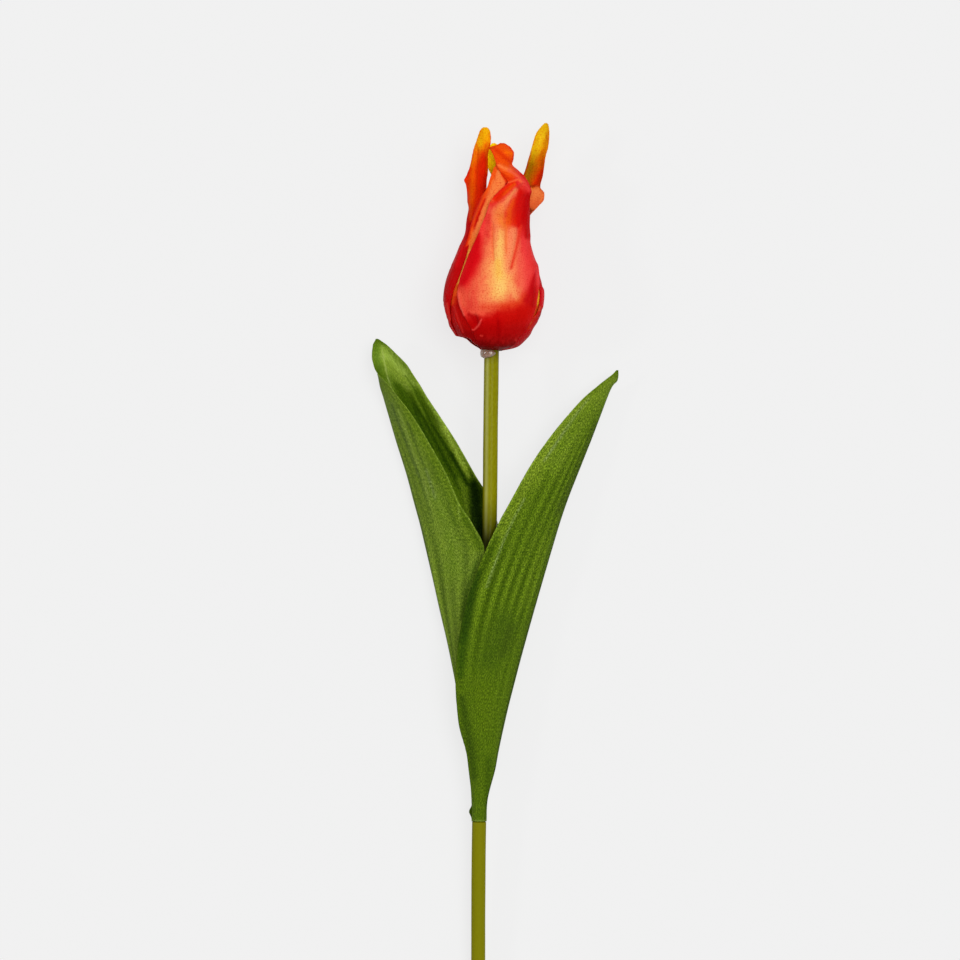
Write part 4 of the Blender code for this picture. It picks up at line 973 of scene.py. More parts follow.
# The ragged foot of the left petals: y, the lowest x there (mm). The inner one is cut further in.
FOOT_LIMIT = [
    (122, -6.4), (123.7, -7.3), (125.5, -10.3), (127.8, -13), (128.7, -15), (129.3, -18.5),
    (130.6, -19.5), (132.7, -20.3), (134.6, -20.9), (137.8, -21.8), (140.5, -22.6), (143, -23.1),
    (146, -23.3), (150, -24.5),
]
FOOT_CUTS = {"petal_left": 0.0, "petal_inner_left": 1.2}
FOOT_RAGGED, FOOT_RAG, FOOT_SEED = 0.22, 1.1, 31
CLOTH_THICKNESS = 0.35 * MM


def grid_normals(points):
    return unit(np.cross(np.gradient(points, axis=0), np.gradient(points, axis=1)))


def raised(points, rise):
    """The grid moved out along its normals by a rise in mm."""
    return points + grid_normals(points) * (rise * MM)[..., None]


def above_table(points):
    points[..., 2] = np.maximum(points[..., 2], CLOTH_THICKNESS / 2)
    return points


def plan_of(points):
    return points[..., :2].reshape(-1, 2) / MM


def cloth_lengths(points):
    """How far each point of a grid lies across and along the cloth, in millimetres."""
    middle = points.shape[0] // 2
    across = np.linalg.norm(np.diff(points, axis=0), axis=2)
    along = np.linalg.norm(np.diff(points, axis=1), axis=2)
    across = np.concatenate([np.zeros((1, points.shape[1])), np.cumsum(across, axis=0)])
    along = np.concatenate([np.zeros((points.shape[0], 1)), np.cumsum(along, axis=1)], axis=1)
    across = across - across[middle]
    along = np.broadcast_to(along[middle], across.shape)
    return np.stack([across, along, np.zeros_like(across)], axis=-1) / MM


def frayed(points, amount, seed):
    """The grid with its two long edges made ragged."""
    out = points.copy()
    steps = np.arange(points.shape[1])
    for edge, inner in ((0, 1), (-1, -2)):
        away = unit(points[edge] - points[inner])
        rough = lattice_noise(steps / FRAY_LONG, edge * FRAY_EDGE_STEP + FRAY_LONG_PLACE, seed)
        short = lattice_noise(steps / FRAY_SHORT, FRAY_SHORT_PLACE, seed + FRAY_SHIFT)
        rough = rough + FRAY_SHORT_SHARE * short
        out[edge] = points[edge] + away * (amount * MM * rough)[:, None]
    return out


def pressed(points, folds, seed):
    """The grid with its folds and wrinkles."""
    cloth = cloth_lengths(points)
    rise = sum(height * np.exp(-(reach_of(plan_of(points), path) ** 2)) for height, path in folds)
    rise = np.reshape(rise + np.zeros(points[..., 0].size), points.shape[:2])
    return raised(points, rise + layered_noise(WRINKLES, cloth[..., 0], cloth[..., 1], seed))


def levelled(name, points):
    """The grid with its flap, if it has one, pressed level."""
    if name not in FLATS:
        return points
    x, y, radius, height = np.array(FLATS[name]) * MM
    outer, inner = FLAT_EDGE
    near = ease(outer * radius, inner * radius, np.hypot(points[..., 0] - x, points[..., 1] - y))
    out = points.copy()
    out[..., 2] += (height - points[..., 2]) * near * FLAT_SHARE
    return out


def cut_foot(name, points):
    """The grid with the foot of its left side drawn in to a ragged line."""
    if name not in FOOT_CUTS:
        return points
    out = points.copy()
    y = points[..., 1] / MM
    limit = smooth_table(FOOT_LIMIT, y.ravel()).reshape(y.shape)
    limit = limit + FOOT_RAGGED * lattice_noise(y / FOOT_RAG, 0.5, FOOT_SEED) + FOOT_CUTS[name]
    out[..., 0] = np.maximum(points[..., 0], np.where(y < FOOT_LIMIT[-1][0], limit * MM, -np.inf))
    return out


def faces_inwards(points):
    """Whether a petal's normals point at the bloom's middle line."""
    x, z = smooth_table(BLOOM_LINE, BLOOM_MIDDLE_Y)[0] * MM
    outwards = points - np.array([x, 0.0, z])
    outwards[..., 1] = 0.0
    return np.sum(grid_normals(points) * outwards) < 0


def petal_colours(name, points, plan, cloth):
    marked = np.maximum(ease(*MARKS_FROM, points[:, 2] / MM), ease(*TIPS_FROM, plan[:, 1]))
    wobble = layered_noise(PAINT_WOBBLE, cloth[:, 0], cloth[:, 1], PAINT_SEED)
    colours = np.tile(np.asarray(GROUNDS[name], float), (len(plan), 1))
    paint(colours, plan, PRINT_AND_PAINTED_LIGHT[name], wobble, marked)
    return colours


def make_petal(name, outer_satin, lining_satin):
    across, along, ragged, seed = PETAL_GRIDS[name]
    on_form, standing = PETALS[name]
    rows = [body_row(USUAL_DEPTHS[name], *row) for row in on_form] + [free_row(*row) for row in standing]
    points = petal_surface(rows, across, along)
    if faces_inwards(points):
        points = points[::-1]
    points = pressed(levelled(name, frayed(points, ragged, seed)), FOLDS[name], seed)
    points = above_table(cut_foot(name, points))
    plan = plan_of(points)
    cloth = cloth_lengths(points).reshape(-1, 3)
    colours = petal_colours(name, points.reshape(-1, 3), plan, cloth)
    through = ease(*SHOWS_THROUGH_FROM, plan[:, 1])[:, None]
    lining = np.asarray(LINING_COLOUR) + (colours - LINING_COLOUR) * through
    matt = np.exp(-(reach_of(plan, MATT_PARTS.get(name, [(0.0, 0.0, 1.0)])) ** 4))
    attributes = {"cloth": cloth, "print_and_painted_light": with_alpha(colours), "lining": with_alpha(lining), "matt": matt}
    cloth_piece(name + "_cloth", points, [name], [outer_satin, lining_satin], attributes)


def make_petals():
    outer_satin = petal_material("petal_satin_print_and_painted_light", "print_and_painted_light")
    lining_satin = petal_material("petal_satin_lining", "lining")
    for name in PETALS:
        make_petal(name, outer_satin, lining_satin)


# ---------------------------------------------------------------- leaves

SHEET = 0.6 * MM  # how thick the leaves' solids are
FOOT_CLEARANCE = GAP + SHEET / 2 + 0.15 * MM
LEAF_FOOT_RADIUS = STEM_WAIST_RADIUS + FOOT_CLEARANCE
# Sections of each leaf from foot to tip: y, then (x, z) of its upper free edge, of its keel and of its lower
# free edge, then how far its upper and its lower half bow out of flat.
LEAVES = {
    "leaf_left": [
        (-89.8, -10.5, 9.8, -10, 8, -4.1, 9.8, 0, 0), (-62, -10.4, 10.8, -11, 8.2, -2, 6, 0.1, -0.7),
        (-44, -10.2, 13.6, -14.9, 7.6, 1, 5, 0.4, -1), (-26, -10.2, 15.4, -17.8, 7, 3, 4.6, 1, -1.5),
        (-12, -9.4, 17.2, -20.5, 6.6, 4, 4.6, 1.4, -2), (10, -8, 19, -25.6, 5.8, 4.5, 4.6, 2, -2.6),
        (32.6, -5.2, 21.8, -30.7, 5, 3.5, 5.2, 2.2, -3.6), (44.3, -10.4, 22, -33.3, 4.4, 1, 5.8, 2.2, -4),
        (53.3, -16.2, 21.5, -35.6, 4, -1.5, 6.3, 2.2, -4.4),
        (66.4, -22, 20, -39.2, 3.6, -9.2, 7.2, 2, -4.5),
        (82.1, -30.8, 17.5, -44.2, 3.6, -18, 8.4, 1.8, -4.3),
        (95.6, -39.2, 14.5, -48.3, 4.2, -26.8, 9.2, 1.2, -3.8),
        (101.9, -44.1, 13.2, -50.1, 5, -31.1, 9.6, 0.8, -3.2),
        (107.3, -48.3, 12.2, -51.6, 5.9, -34.3, 10, 0.5, -2.6),
        (112.7, -53.5, 11.6, -52, 6.9, -37.8, 10.4, 0.2, -2),
        (116, -55, 10, -51.2, 7.6, -39.8, 10.6, 0.2, -1.6),
        (120.4, -55.8, 9.4, -51.9, 8.4, -43.9, 11, 0.1, -1),
        (124.9, -55.4, 9.6, -52.8, 9.2, -48.6, 10.8, 0.1, -0.5),
        (128, -53.9, 10.2, -53.5, 10.1, -53, 10.2, 0, 0),
    ],
    "leaf_right": [
        (-89.8, -10.6, 10.4, -3.4, 13.3, -4, 10.4, 0, 0),
        (-62, -12.4, 12.4, 0.6, 11, -0.6, 8.8, 3.4, 0.2),
        (-44, -16.7, 13.6, 3.8, 9.5, 3.8, 6.6, 4.6, 0.6),
        (-26, -17.9, 16.6, 8.2, 8.5, 6.4, 4.4, 4.8, 0.9), (-12, -17, 19.4, 11.9, 8, 8.2, 2.8, 4.6, 1),
        (10, -12.7, 22.6, 18.2, 7.2, 10.6, 0.8, 4.2, 1), (32.6, -4.3, 24.2, 24.6, 6.4, 14.4, 0.4, 4, 1),
        (44.3, 1.2, 23.6, 28.2, 6, 17.5, 0.3, 3.9, 1), (55, 7, 22.2, 32, 5.6, 21.5, 0.3, 3.7, 1),
        (72, 16.6, 19.6, 38.7, 5, 29, 0.3, 3.3, 0.9), (84, 25, 17, 43.6, 4.8, 34.5, 0.5, 2.8, 0.8),
        (95, 34, 14.4, 47.9, 4.8, 40.6, 1.2, 2.2, 0.6), (102, 40.6, 12.8, 50.6, 5, 45.6, 2.2, 1.6, 0.4),
        (106, 45.4, 11.8, 52.4, 5.6, 51.4, 3.4, 1.1, 0.2),
        (109.6, 49.8, 10.8, 54.6, 6.8, 55.4, 5.4, 0.6, 0.1),
        (112, 52.9, 10.2, 55.2, 8, 55.7, 7.2, 0.3, 0), (113.9, 54.7, 9.6, 55.2, 9.2, 55.6, 9, 0, 0),
    ],
}
LEAF_SOFTNESS = 0.16  # how wide the keel's bend is, as a share of the half-width
ROW_CROWDING = 0.04  # how much closer a leaf's rows stand at its tip
FOOT_TURNS = {"leaf_left": (-95.0, -128.0, -265.0), "leaf_right": (-86.0, 52.0, 86.0)}
FOOT_LENGTH = 26.0 * MM  # over which a leaf opens out from the stem
# A small fold in the left leaf's foot: y, turn round the stem, height. Then its half-width each way.
FOOT_FOLDS = {"leaf_left": (-85.4, -98.0, 1.3)}
FOLD_LENGTH, FOLD_TURN = 2.0, 20.0


def bent_section(upper, keel, lower, bows, span):
    """A folded blade's section: span is -1 at its upper edge, 0 at its soft keel and 1 at its lower edge."""
    softened = np.sqrt(span**2 + LEAF_SOFTNESS**2)
    scale = 1.0 + math.sqrt(1.0 + LEAF_SOFTNESS**2)
    up = (softened - span) / scale
    down = (softened + span) / scale
    rest = LEAF_SOFTNESS / scale
    corner = (keel - rest * (upper + lower)) / (1 - 2 * rest)
    points = corner + up[:, None] * (upper - corner) + down[:, None] * (lower - corner)
    for edge, share, bow in zip((upper, lower), (up, down), bows):
        out = np.cross((0.0, 1.0, 0.0), unit(edge - corner))
        out = out * np.sign(out[2] if abs(out[2]) > TINY else 1.0)
        points = points + (4 * share * (1 - share) * bow)[:, None] * out
    return points


def leaf_surface(name, across, along):
    """A grid of points: the folded blade, closing round the stem at its foot."""
    rows = np.array(LEAVES[name]) * MM
    travel = lengths_along(rows[:, [3, 0, 4]])
    at = np.linspace(0.0, 1.0, along + 1)
    at = at + ROW_CROWDING * np.sin(math.pi * at) * at
    sections = smooth_table(np.column_stack([travel, rows]), at * travel[-1])
    span = np.linspace(-1.0, 1.0, across + 1)
    turn = np.radians(np.interp(span, (-1.0, 0.0, 1.0), FOOT_TURNS[name]))
    round_stem = np.stack([np.sin(turn), np.zeros_like(turn), np.cos(turn)], axis=1)
    fold_y, fold_turn, fold_height = FOOT_FOLDS.get(name, (0.0, 0.0, 0.0))
    fold_share = np.exp(-(((np.degrees(turn) - fold_turn) / FOLD_TURN) ** 2))[:, None]
    grid = np.empty((across + 1, along + 1, 3))
    for j, (y, *edges, upper_bow, lower_bow) in enumerate(sections):
        upper, keel, lower = (np.array((x, y, z)) for x, z in np.reshape(edges, (3, 2)))
        blade = bent_section(upper, keel, lower, (upper_bow, lower_bow), span)
        centre = stem_point(y)[0]
        opened = fade(min(1.0, (y - LEAF_FOOT_Y) / FOOT_LENGTH))
        away = LEAF_FOOT_RADIUS * round_stem * (1 - opened) + (blade - centre) * opened
        reach = np.linalg.norm(away, axis=1, keepdims=True)
        fold = fold_height * MM * fold_share * math.exp(-(((y / MM - fold_y) / FOLD_LENGTH) ** 2))
        grid[:, j] = centre + away * (np.maximum(reach, stem_radius(y) + FOOT_CLEARANCE) + fold) / reach
    grid[..., 2] = np.maximum(grid[..., 2], SHEET / 2)
    return grid


# Print, painted highlights and painted shade on the leaves, as on the petals.
LEAF_PRINT_AND_PAINTED_LIGHT = {}
LEAF_PRINT_AND_PAINTED_LIGHT["left_outer"] = [
    ((104, 130, 24), 0.8, 1, [(-40, 98, 3), (-28, 76, 4), (-16, 52, 5), (-8, 36, 5)]),
    ((112, 142, 36), 0.8, 1, [(-51, 122, 4), (-49, 112, 3)]),
    ((112, 134, 60), 0.7, 1, [(-51.5, 104, 2), (-47.5, 97, 3), (-44.5, 92, 3)]),
    ((118, 146, 40), 0.7, 1, [(-28, 58, 4), (-22, 40, 5), (-19, 24, 5)]),
    ((86, 106, 44), 0.75, 1,
        [(-46.6, 98.5, 0.6), (-43.4, 89.5, 0.7), (-39.2, 79.2, 0.7), (-34.2, 66, 0.7)],
    ),
    ((88, 110, 40), 0.6, 1, [(-34.2, 66, 0.7), (-30.8, 55.3, 0.8), (-28, 46, 0.7)]),
    ((138, 160, 66), 0.75, 1, [(-43.4, 95.4, 0.7), (-38.2, 80.4, 0.8), (-33, 67, 0.9), (-29.2, 54, 0.9)]),
    ((136, 160, 54), 0.7, 1, [(-29.2, 54, 1), (-26, 44, 1.3), (-23, 34, 1.4)]),
    ((88, 108, 40), 0.65, 1, [(-39.4, 90, 0.6), (-34.8, 77.8, 0.6), (-30.6, 67, 0.6), (-27.4, 58.9, 0.5)]),
    ((126, 152, 48), 0.5, 1,
        [(-35.7, 83.7, 0.8), (-31.7, 73.3, 0.9), (-26.6, 59.8, 1), (-22.4, 46.3, 1.2)],
    ),
    ((88, 114, 26), 0.6, 1, [(-28.7, 72.4, 0.6), (-24.7, 63.4, 0.7), (-21.5, 55.3, 0.7), (-18, 44, 0.8)]),
    ((82, 110, 12), 0.8, 1, [(-24.7, 72.4, 0.9), (-19.4, 62.1, 1.2), (-16.2, 54, 1.3), (-12.8, 46, 1.4)]),
    ((80, 106, 14), 0.8, 1, [(-12.8, 46, 1.4), (-9, 39.2, 1.5), (-6.4, 34, 1.4)]),
    # Painted shadow cast by the right leaf's edge.
    ((60, 88, 14), 0.6, 1, [(-8.6, 27, 1.2), (-12.5, 14, 1.2), (-15, 2, 1)]),
    ((166, 190, 84), 0.7, 1, [(-16.8, 53.6, 0.25), (-16, 46.8, 0.25)]),
]
LEAF_PRINT_AND_PAINTED_LIGHT["left_inner"] = [
    ((190, 216, 94), 0.95, 1, [(-50, 121, 5), (-45, 115, 5), (-39, 108, 3.4)]),
    ((146, 172, 54), 0.9, 1, [(-49, 117, 1.6), (-45, 113, 1.9), (-40.6, 108.4, 2)]),
    ((112, 146, 40), 0.8, 1, [(-53.6, 124, 1.2), (-53.4, 119, 1.6), (-52.6, 114, 1.5)]),
    ((120, 150, 44), 0.8, 1, [(-48.6, 110, 2), (-45.6, 106, 1.8)]),
    # Painted shade in the channel under the folded upper half, darkest in lines along that half's edge.
    ((76, 108, 10), 0.85, 1, [(-45, 107.4, 1.2), (-41.4, 103.2, 2), (-36, 95, 2.6)]),
    ((72, 102, 8), 0.95, 1, [(-38.6, 99.5, 2), (-33.9, 92.2, 3), (-28.5, 83.7, 3.2), (-22.2, 73.3, 3)]),
    ((78, 108, 10), 0.95, 1, [(-22.2, 73.3, 3), (-17, 63.6, 2.6)]),
    ((84, 114, 14), 0.6, 1, [(-43.4, 107.6, 0.5), (-41.4, 104.2, 0.9), (-37.5, 98.5, 1.2)]),
    ((52, 80, 6), 0.85, 1,
        [(-36.6, 97, 0.4), (-34.9, 92.2, 0.5), (-33.4, 89, 0.5), (-32, 85.9, 0.5)],
        [(-32, 85.9, 0.5), (-30, 82.3, 0.5), (-28, 78.7, 0.5)],
    ),
    ((56, 84, 6), 0.9, 1, [(-37.2, 99.4, 0.4), (-34.1, 94.9, 0.6), (-32.4, 92.2, 0.6), (-30.6, 89, 0.6)]),
    ((52, 80, 6), 0.92, 1, [(-30.6, 89, 0.6), (-29.1, 85.9, 0.6), (-27.3, 82.3, 0.6), (-22.9, 73.8, 0.8)]),
    ((84, 112, 14), 0.7, 1,
        [(-32.1, 89, 0.35), (-30.3, 85.9, 0.35), (-28.5, 82.3, 0.35), (-27, 78.7, 0.35)],
    ),
    ((48, 76, 4), 0.95, 1, [(-22.9, 73.8, 0.9), (-18.4, 66.1, 0.8), (-15.4, 59.8, 0.6)]),
    ((96, 126, 18), 0.85, 1,
        [(-31.2, 92.2, 0.4), (-29.4, 89, 0.5), (-27.6, 85.9, 0.5), (-25.3, 82.3, 0.6)],
    ),
    ((88, 116, 15), 0.8, 1, [(-25.3, 82.3, 0.6), (-23.3, 78.7, 0.6), (-20.8, 73.6, 0.7), (-18, 67.4, 0.8)]),
    ((126, 154, 36), 0.9, 1, [(-16.4, 64.4, 1.1), (-13.9, 58.9, 1.3), (-12.8, 52, 1.3), (-12, 48, 0.9)]),
    # The margin's lighter green, brightened further as painted light where it turns up towards the lamp, here
    # and in the next two strokes.
    ((196, 224, 90), 0.9, 1, [(-34.4, 108, 1.5), (-30.2, 102, 1.7), (-25.4, 94, 2.1), (-21.9, 87, 2.3)]),
    ((206, 234, 84), 0.95, 1, [(-22.6, 88, 1.6), (-19.4, 81, 1.9), (-16.2, 75, 1.7), (-13.5, 69.6, 1.5)]),
    ((186, 212, 66), 0.8, 1, [(-13.5, 69.6, 1.4), (-12, 66, 1)]),
    # More painted shade along the upper half's edge, towards the tip.
    ((82, 112, 18), 0.75, 1, [(-40.6, 111.6, 0.25), (-37.5, 107, 0.45), (-35.6, 103.9, 0.6)]),
    ((78, 108, 14), 0.8, 1, [(-35.6, 103.9, 0.5), (-33.8, 100.3, 0.5), (-32.3, 97, 0.5)]),
    ((66, 96, 10), 0.9, 1.2,
        [(-32.4, 97.4, 0.4), (-31.1, 94.9, 0.45), (-29.9, 92.2, 0.5), (-28.4, 89, 0.6)],
    ),
    ((54, 82, 6), 0.92, 1.2,
        [(-28.4, 89, 0.6), (-26.5, 85.9, 0.7), (-24.2, 82.3, 0.8), (-19.7, 75.6, 0.9)],
    ),
    ((132, 162, 40), 0.85, 1,
        [(-39, 107.4, 0.7), (-35.5, 100.6, 0.7), (-33.4, 96.6, 0.6), (-31.7, 93, 0.4)],
    ),
    # Painted shade along the upper half's edge, near the stem.
    ((44, 72, 4), 0.97, 1.2, [(-19.7, 75.6, 0.9), (-15.7, 68.4, 0.9), (-12.5, 62.5, 0.8)]),
    # Painted highlight along the crease near the tip.
    ((204, 220, 124), 0.6, 1, [(-51.2, 125, 0.3), (-50.4, 119, 0.35), (-49, 112, 0.35), (-46.6, 105, 0.3)]),
    # Painted shade where the blade runs in beside the stem, under the right leaf.
    ((28, 50, 4), 0.97, 1.6, [(-9.6, 62, 2.2), (-8.4, 50, 2.8), (-5.5, 38, 3)]),
]
LEAF_PRINT_AND_PAINTED_LIGHT["right_outer"] = [
    ((134, 158, 42), 0.85, 1, [(53, 110, 3), (46, 103, 3), (36, 96, 2.8), (26, 83, 3.2), (16, 66, 4)]),
    ((124, 150, 38), 0.7, 1, [(50, 104, 2.5), (42, 95, 4), (35, 84, 4), (26, 70, 4)]),
    ((122, 146, 34), 0.8, 1, [(16, 66, 4), (8, 52, 3.2), (2.4, 40, 2.2)]),
    ((76, 98, 20), 0.75, 1, [(45, 90, 1), (39, 74, 1.7), (33.6, 61, 2), (28.6, 50, 2)]),
    ((92, 118, 18), 0.5, 1, [(20, 44, 2), (14, 30, 3)]),
    ((108, 134, 24), 0.5, 1, [(22, 38, 2), (17, 20, 2.4), (12, 8, 1.6)]),
    ((74, 100, 16), 0.7, 1, [(4, 0, 6), (0, -8, 7), (-3, -16, 6)]),
    ((66, 88, 14), 0.6, 1, [(7, -3, 2), (5, -9, 2.4), (3, -14, 2)]),
    # Painted shade along the left edge, where it curls away, here and in the next stroke.
    ((44, 72, 6), 0.9, 1.2, [(-7.4, 22.9, 0.9), (-10.6, 13.9, 1.8), (-12.8, 3.6, 2.4), (-14.6, -7.7, 2.4)]),
    ((56, 86, 8), 0.8, 1, [(-14.6, -7.7, 2.2), (-15.4, -16.7, 1.8), (-15.6, -24, 1.2)]),
    ((96, 122, 14), 0.6, 1, [(-6, -30, 5), (-5, -38, 5), (-5, -46, 4)]),
    ((54, 78, 10), 0.6, 1, [(-14.8, -34, 1.4), (-13, -46, 1.8), (-10.6, -58, 2), (-9.6, -70, 1.4)]),
    ((62, 88, 8), 0.6, 1, [(-3, -62, 1.6), (-3.4, -72, 1.4), (-3.8, -82, 1.2)]),
    ((150, 166, 80), 0.6, 1, [(-10.6, -89.4, 0.35), (-4, -89.4, 0.35)]),
]
LEAF_PRINT_AND_PAINTED_LIGHT["right_inner"] = []
LEAF_GROUNDS = {
    "left_outer": (112, 136, 40),
    "left_inner": (92, 122, 14),
    "right_outer": (92, 119, 16),
    "right_inner": (84, 112, 14),
}
LEAF_WOBBLE = [(0.22, 0.8, 2.2, 3)]
# Painted sheen along each leaf, where the coating would shine: strength, and a path of (x, y, half-width).
LEAF_PAINTED_SHEENS = {
    "left": [(0.25, [(-31, 69, 0.8), (-27, 56, 1)])],
    "right": [
        (0.35, [(42, 101, 0.5), (36, 93.5, 0.7), (31.4, 86.8, 0.8), (29, 83, 0.7)]),
        (0.6, [(31, 86.4, 0.5), (26.4, 79.4, 0.6), (22, 73, 0.4)]),
        (0.45, [(13, 56, 0.4), (8.2, 47, 0.4), (3.6, 37, 0.45), (0.2, 28, 0.5), (-4, 16, 0.4)]),
    ],
}
# How strongly the cloth's grain shows along each leaf: y, strength.
GRAINS = {
    "left": [(-90, 0.7), (-20, 0.9), (40, 1.1), (84, 1), (102, 0.65), (128, 0.3)],
    "right": [(-90, 0.75), (-40, 0.85), (0, 1), (30, 1.35), (70, 1.35), (95, 1.1), (114, 0.5)],
}
# How finely each leaf is divided, how many ribs each half has, and its seed.
LEAF_GRIDS = {"leaf_left": (96, 430, 5.0, 11), "leaf_right": (96, 430, 7.0, 12)}
LEAF_RAGGED = 0.06  # mm
RIB_RISE = 0.16  # mm
# How the ribs' spacing and strength wander: how much, how often across a half, and over how many mm along.
RIB_DRIFT, RIB_STRENGTH = (0.45, 2.6, 55.0), (0.55, 4.0, 28.0)
BLADE_SCALE = (2.2, 0.05)  # of the streaks that follow the ribs: for each rib across, and for each mm along
# What a rib adds to the colour, and what a valley takes from it.
RIB_LIGHT, RIB_DARK = (24.0, 25.0, 11.0), (26.0, 28.0, 11.0)
# How clearly the ribs show along a leaf: y, share.
RIBS_CLEAR = [
    (-90, 0), (-40, 0.3), (-8, 0.7), (20, 1), (60, 1), (95, 0.6), (128, 0.1),
]
LEAF_WAVES = [(0.22, 7.0, 26.0, 7)]
WAVES_FROM = (LEAF_FOOT_Y, LEAF_FOOT_Y + 40 * MM)
# The pale cut edge, and the painted shade along the keel where the leaf turns away: colour, strength, width
# as a share of the half-width, and where each comes in along Y (mm).
EDGE_COLOUR, EDGE_STRENGTH, EDGE_WIDTH, EDGE_FROM = (150, 176, 64), 0.75, 0.035, (26.0, 48.0)
KEEL_SHADE_COLOUR, KEEL_SHADE_STRENGTH, KEEL_SHADE_WIDTH, KEEL_SHADE_FROM = (46, 62, 18), 0.6, 0.06, (103.0, 94.0)


def rib_height(span, cloth, ribs, seed):
    """From -1 in a valley to 1 on a rib, the ribs' spacing and strength wandering a little."""
    amount, often, length = RIB_DRIFT
    drift = amount * lattice_noise(span * often, cloth[..., 1] / length, seed)
    amount, often, length = RIB_STRENGTH
    strength = amount + amount * lattice_noise(span * often, cloth[..., 1] / length, seed + 1)
    return np.cos(math.tau * (ribs * np.abs(span) + drift)) * strength


def leaf_colours(face, plan, span, ribs_here, cloth, seed):
    colours = np.tile(np.asarray(LEAF_GROUNDS[face], float), (len(plan), 1))
    colours += np.multiply.outer(np.clip(ribs_here, 0.0, 1.0), RIB_LIGHT)
    colours -= np.multiply.outer(np.clip(-ribs_here, 0.0, 1.0), RIB_DARK)
    paint(colours, plan, LEAF_PRINT_AND_PAINTED_LIGHT[face], layered_noise(LEAF_WOBBLE, cloth[:, 0], cloth[:, 1], seed))
    edge = ease(1.0 - EDGE_WIDTH, 1.0, np.abs(span)) * ease(*EDGE_FROM, plan[:, 1])
    tint(colours, EDGE_COLOUR, edge * EDGE_STRENGTH)
    # Painted shade along the keel, where the blade turns away from the light.
    keel = np.exp(-((span / KEEL_SHADE_WIDTH) ** 2)) * ease(*KEEL_SHADE_FROM, plan[:, 1])
    tint(colours, KEEL_SHADE_COLOUR, keel * KEEL_SHADE_STRENGTH)
    return colours


def make_leaf(name, outer_cloth, inner_cloth):
    across, along, ribs, seed = LEAF_GRIDS[name]
    points = leaf_surface(name, across, along)
    span = np.broadcast_to(np.linspace(-1.0, 1.0, across + 1)[:, None], points.shape[:2])
    if grid_normals(points)[across // 4, along // 2, 2] < 0:
        points, span = points[::-1], span[::-1]
    cloth = cloth_lengths(points)
    clear = smooth_table(RIBS_CLEAR, points[..., 1].ravel() / MM).reshape(span.shape)
    ribs_here = rib_height(span, cloth, ribs, seed) * clear
    waves = layered_noise(LEAF_WAVES, cloth[..., 0], cloth[..., 1], seed) * ease(*WAVES_FROM, points[..., 1])
    points = frayed(above_table(raised(points, RIB_RISE * ribs_here + waves)), LEAF_RAGGED, seed)
    side = name.split("_")[1]
    plan, cloth = plan_of(points), cloth.reshape(-1, 3)
    span, ribs_here = span.ravel(), ribs_here.ravel()
    painted_sheens = [strength * np.exp(-(reach_of(plan, path) ** 2)) for strength, path in LEAF_PAINTED_SHEENS[side]]
    per_rib, per_mm = BLADE_SCALE
    attributes = {
        "cloth": cloth,
        "blade": np.stack([span * ribs * per_rib, cloth[:, 1] * per_mm, np.zeros_like(span)], axis=-1),
        "painted_sheen": np.max(painted_sheens, axis=0),
        "grain": smooth_table(GRAINS[side], plan[:, 1])[:, 0],
    }
    for face in ("outer", "inner"):
        attributes[face] = with_alpha(leaf_colours(side + "_" + face, plan, span, ribs_here, cloth, seed))
    cloth_piece(name + "_cloth", points, [name], [outer_cloth, inner_cloth], attributes)


def make_leaves():
    outer_cloth = leaf_material("leaf_cloth_outer", "outer")
    inner_cloth = leaf_material("leaf_cloth_inner", "inner")
    for name in LEAVES:
        make_leaf(name, outer_cloth, inner_cloth)


# ---------------------------------------------------------------- floor, light and camera

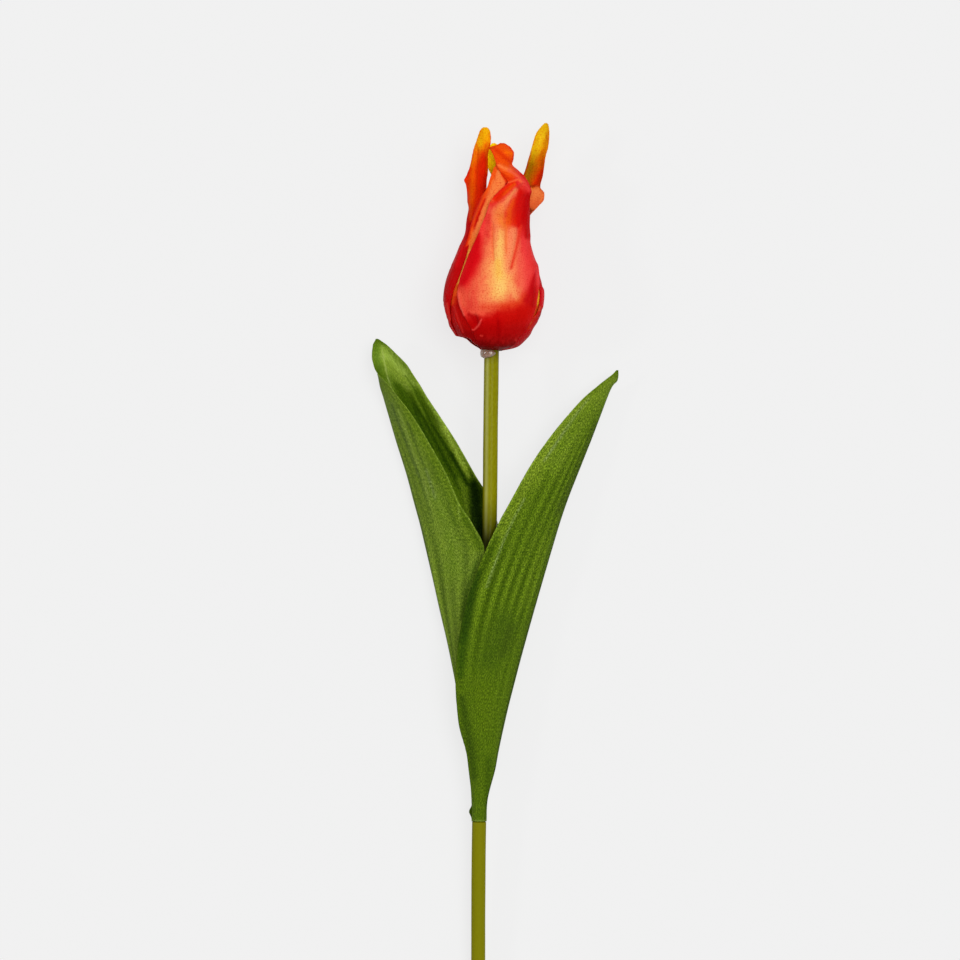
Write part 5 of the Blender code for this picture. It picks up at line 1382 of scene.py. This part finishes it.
VIEW_X, VIEW_Y, VIEW_HEIGHT = -6.9 * MM, 64.3 * MM, 3.02
LENS, VIEW_END = 250.0, 20.0
FLOOR_HALF = 4.0
FLOOR_SHADE, FLOOR_GLOW = 0.11, 0.758
# Each lamp's place, strength and spread in degrees.
LAMPS = {
    "key": ((0.45, 0.4, 1.6), 2.25, 45),
    "strip": ((-1.5, 0.15, 1.0), 0.5, 7),
}
WORLD_STRENGTH = 0.33


def make_floor():
    """A pale floor that glows a little, so that shadows on it are faint."""
    corners = [(-1, -1), (1, -1), (1, 1), (-1, 1)]
    mesh = bpy.data.meshes.new("studio_floor")
    mesh.from_pydata([(x * FLOOR_HALF, y * FLOOR_HALF, 0.0) for x, y in corners], [], [(0, 1, 2, 3)])
    floor = add_object("studio_floor", mesh)
    make = Nodes("studio_paper")
    make.set(
        Base_Color=(FLOOR_SHADE, FLOOR_SHADE, FLOOR_SHADE, 1.0),
        Roughness=1.0,
        Emission_Color=(1.0, 1.0, 1.0, 1.0),
        Emission_Strength=FLOOR_GLOW,
        Specular_IOR_Level=0.0,
    )
    mesh.materials.append(make.material)


def make_lights():
    """Two suns that point at the middle of the view, and an even white world."""
    for name, (place, strength, spread) in LAMPS.items():
        data = bpy.data.lights.new(name, "SUN")
        data.energy = strength
        data.angle = math.radians(spread)
        ahead = unit(np.subtract((VIEW_X, VIEW_Y, 0.0), place))
        lamp = add_object(name, data)
        lamp.location = place
        lamp.rotation_euler = (math.acos(-ahead[2]), 0.0, math.atan2(-ahead[0], ahead[1]))
    world = bpy.data.worlds.new("studio")
    world.use_nodes = True
    background = world.node_tree.nodes["Background"]
    background.inputs["Color"].default_value = (1.0, 1.0, 1.0, 1.0)
    background.inputs["Strength"].default_value = WORLD_STRENGTH
    bpy.context.scene.world = world


def make_camera():
    data = bpy.data.cameras.new("camera")
    data.lens = LENS
    data.clip_end = VIEW_END
    camera = add_object("camera", data)
    camera.location = (VIEW_X, VIEW_Y, VIEW_HEIGHT)
    bpy.context.scene.camera = camera


make_stem()
make_glue()
dress_hidden_nodes()
make_petals()
make_leaves()
make_floor()
make_lights()
make_camera()
bpy.context.scene.view_settings.view_transform = "Standard"

bpy.context.view_layer.update()
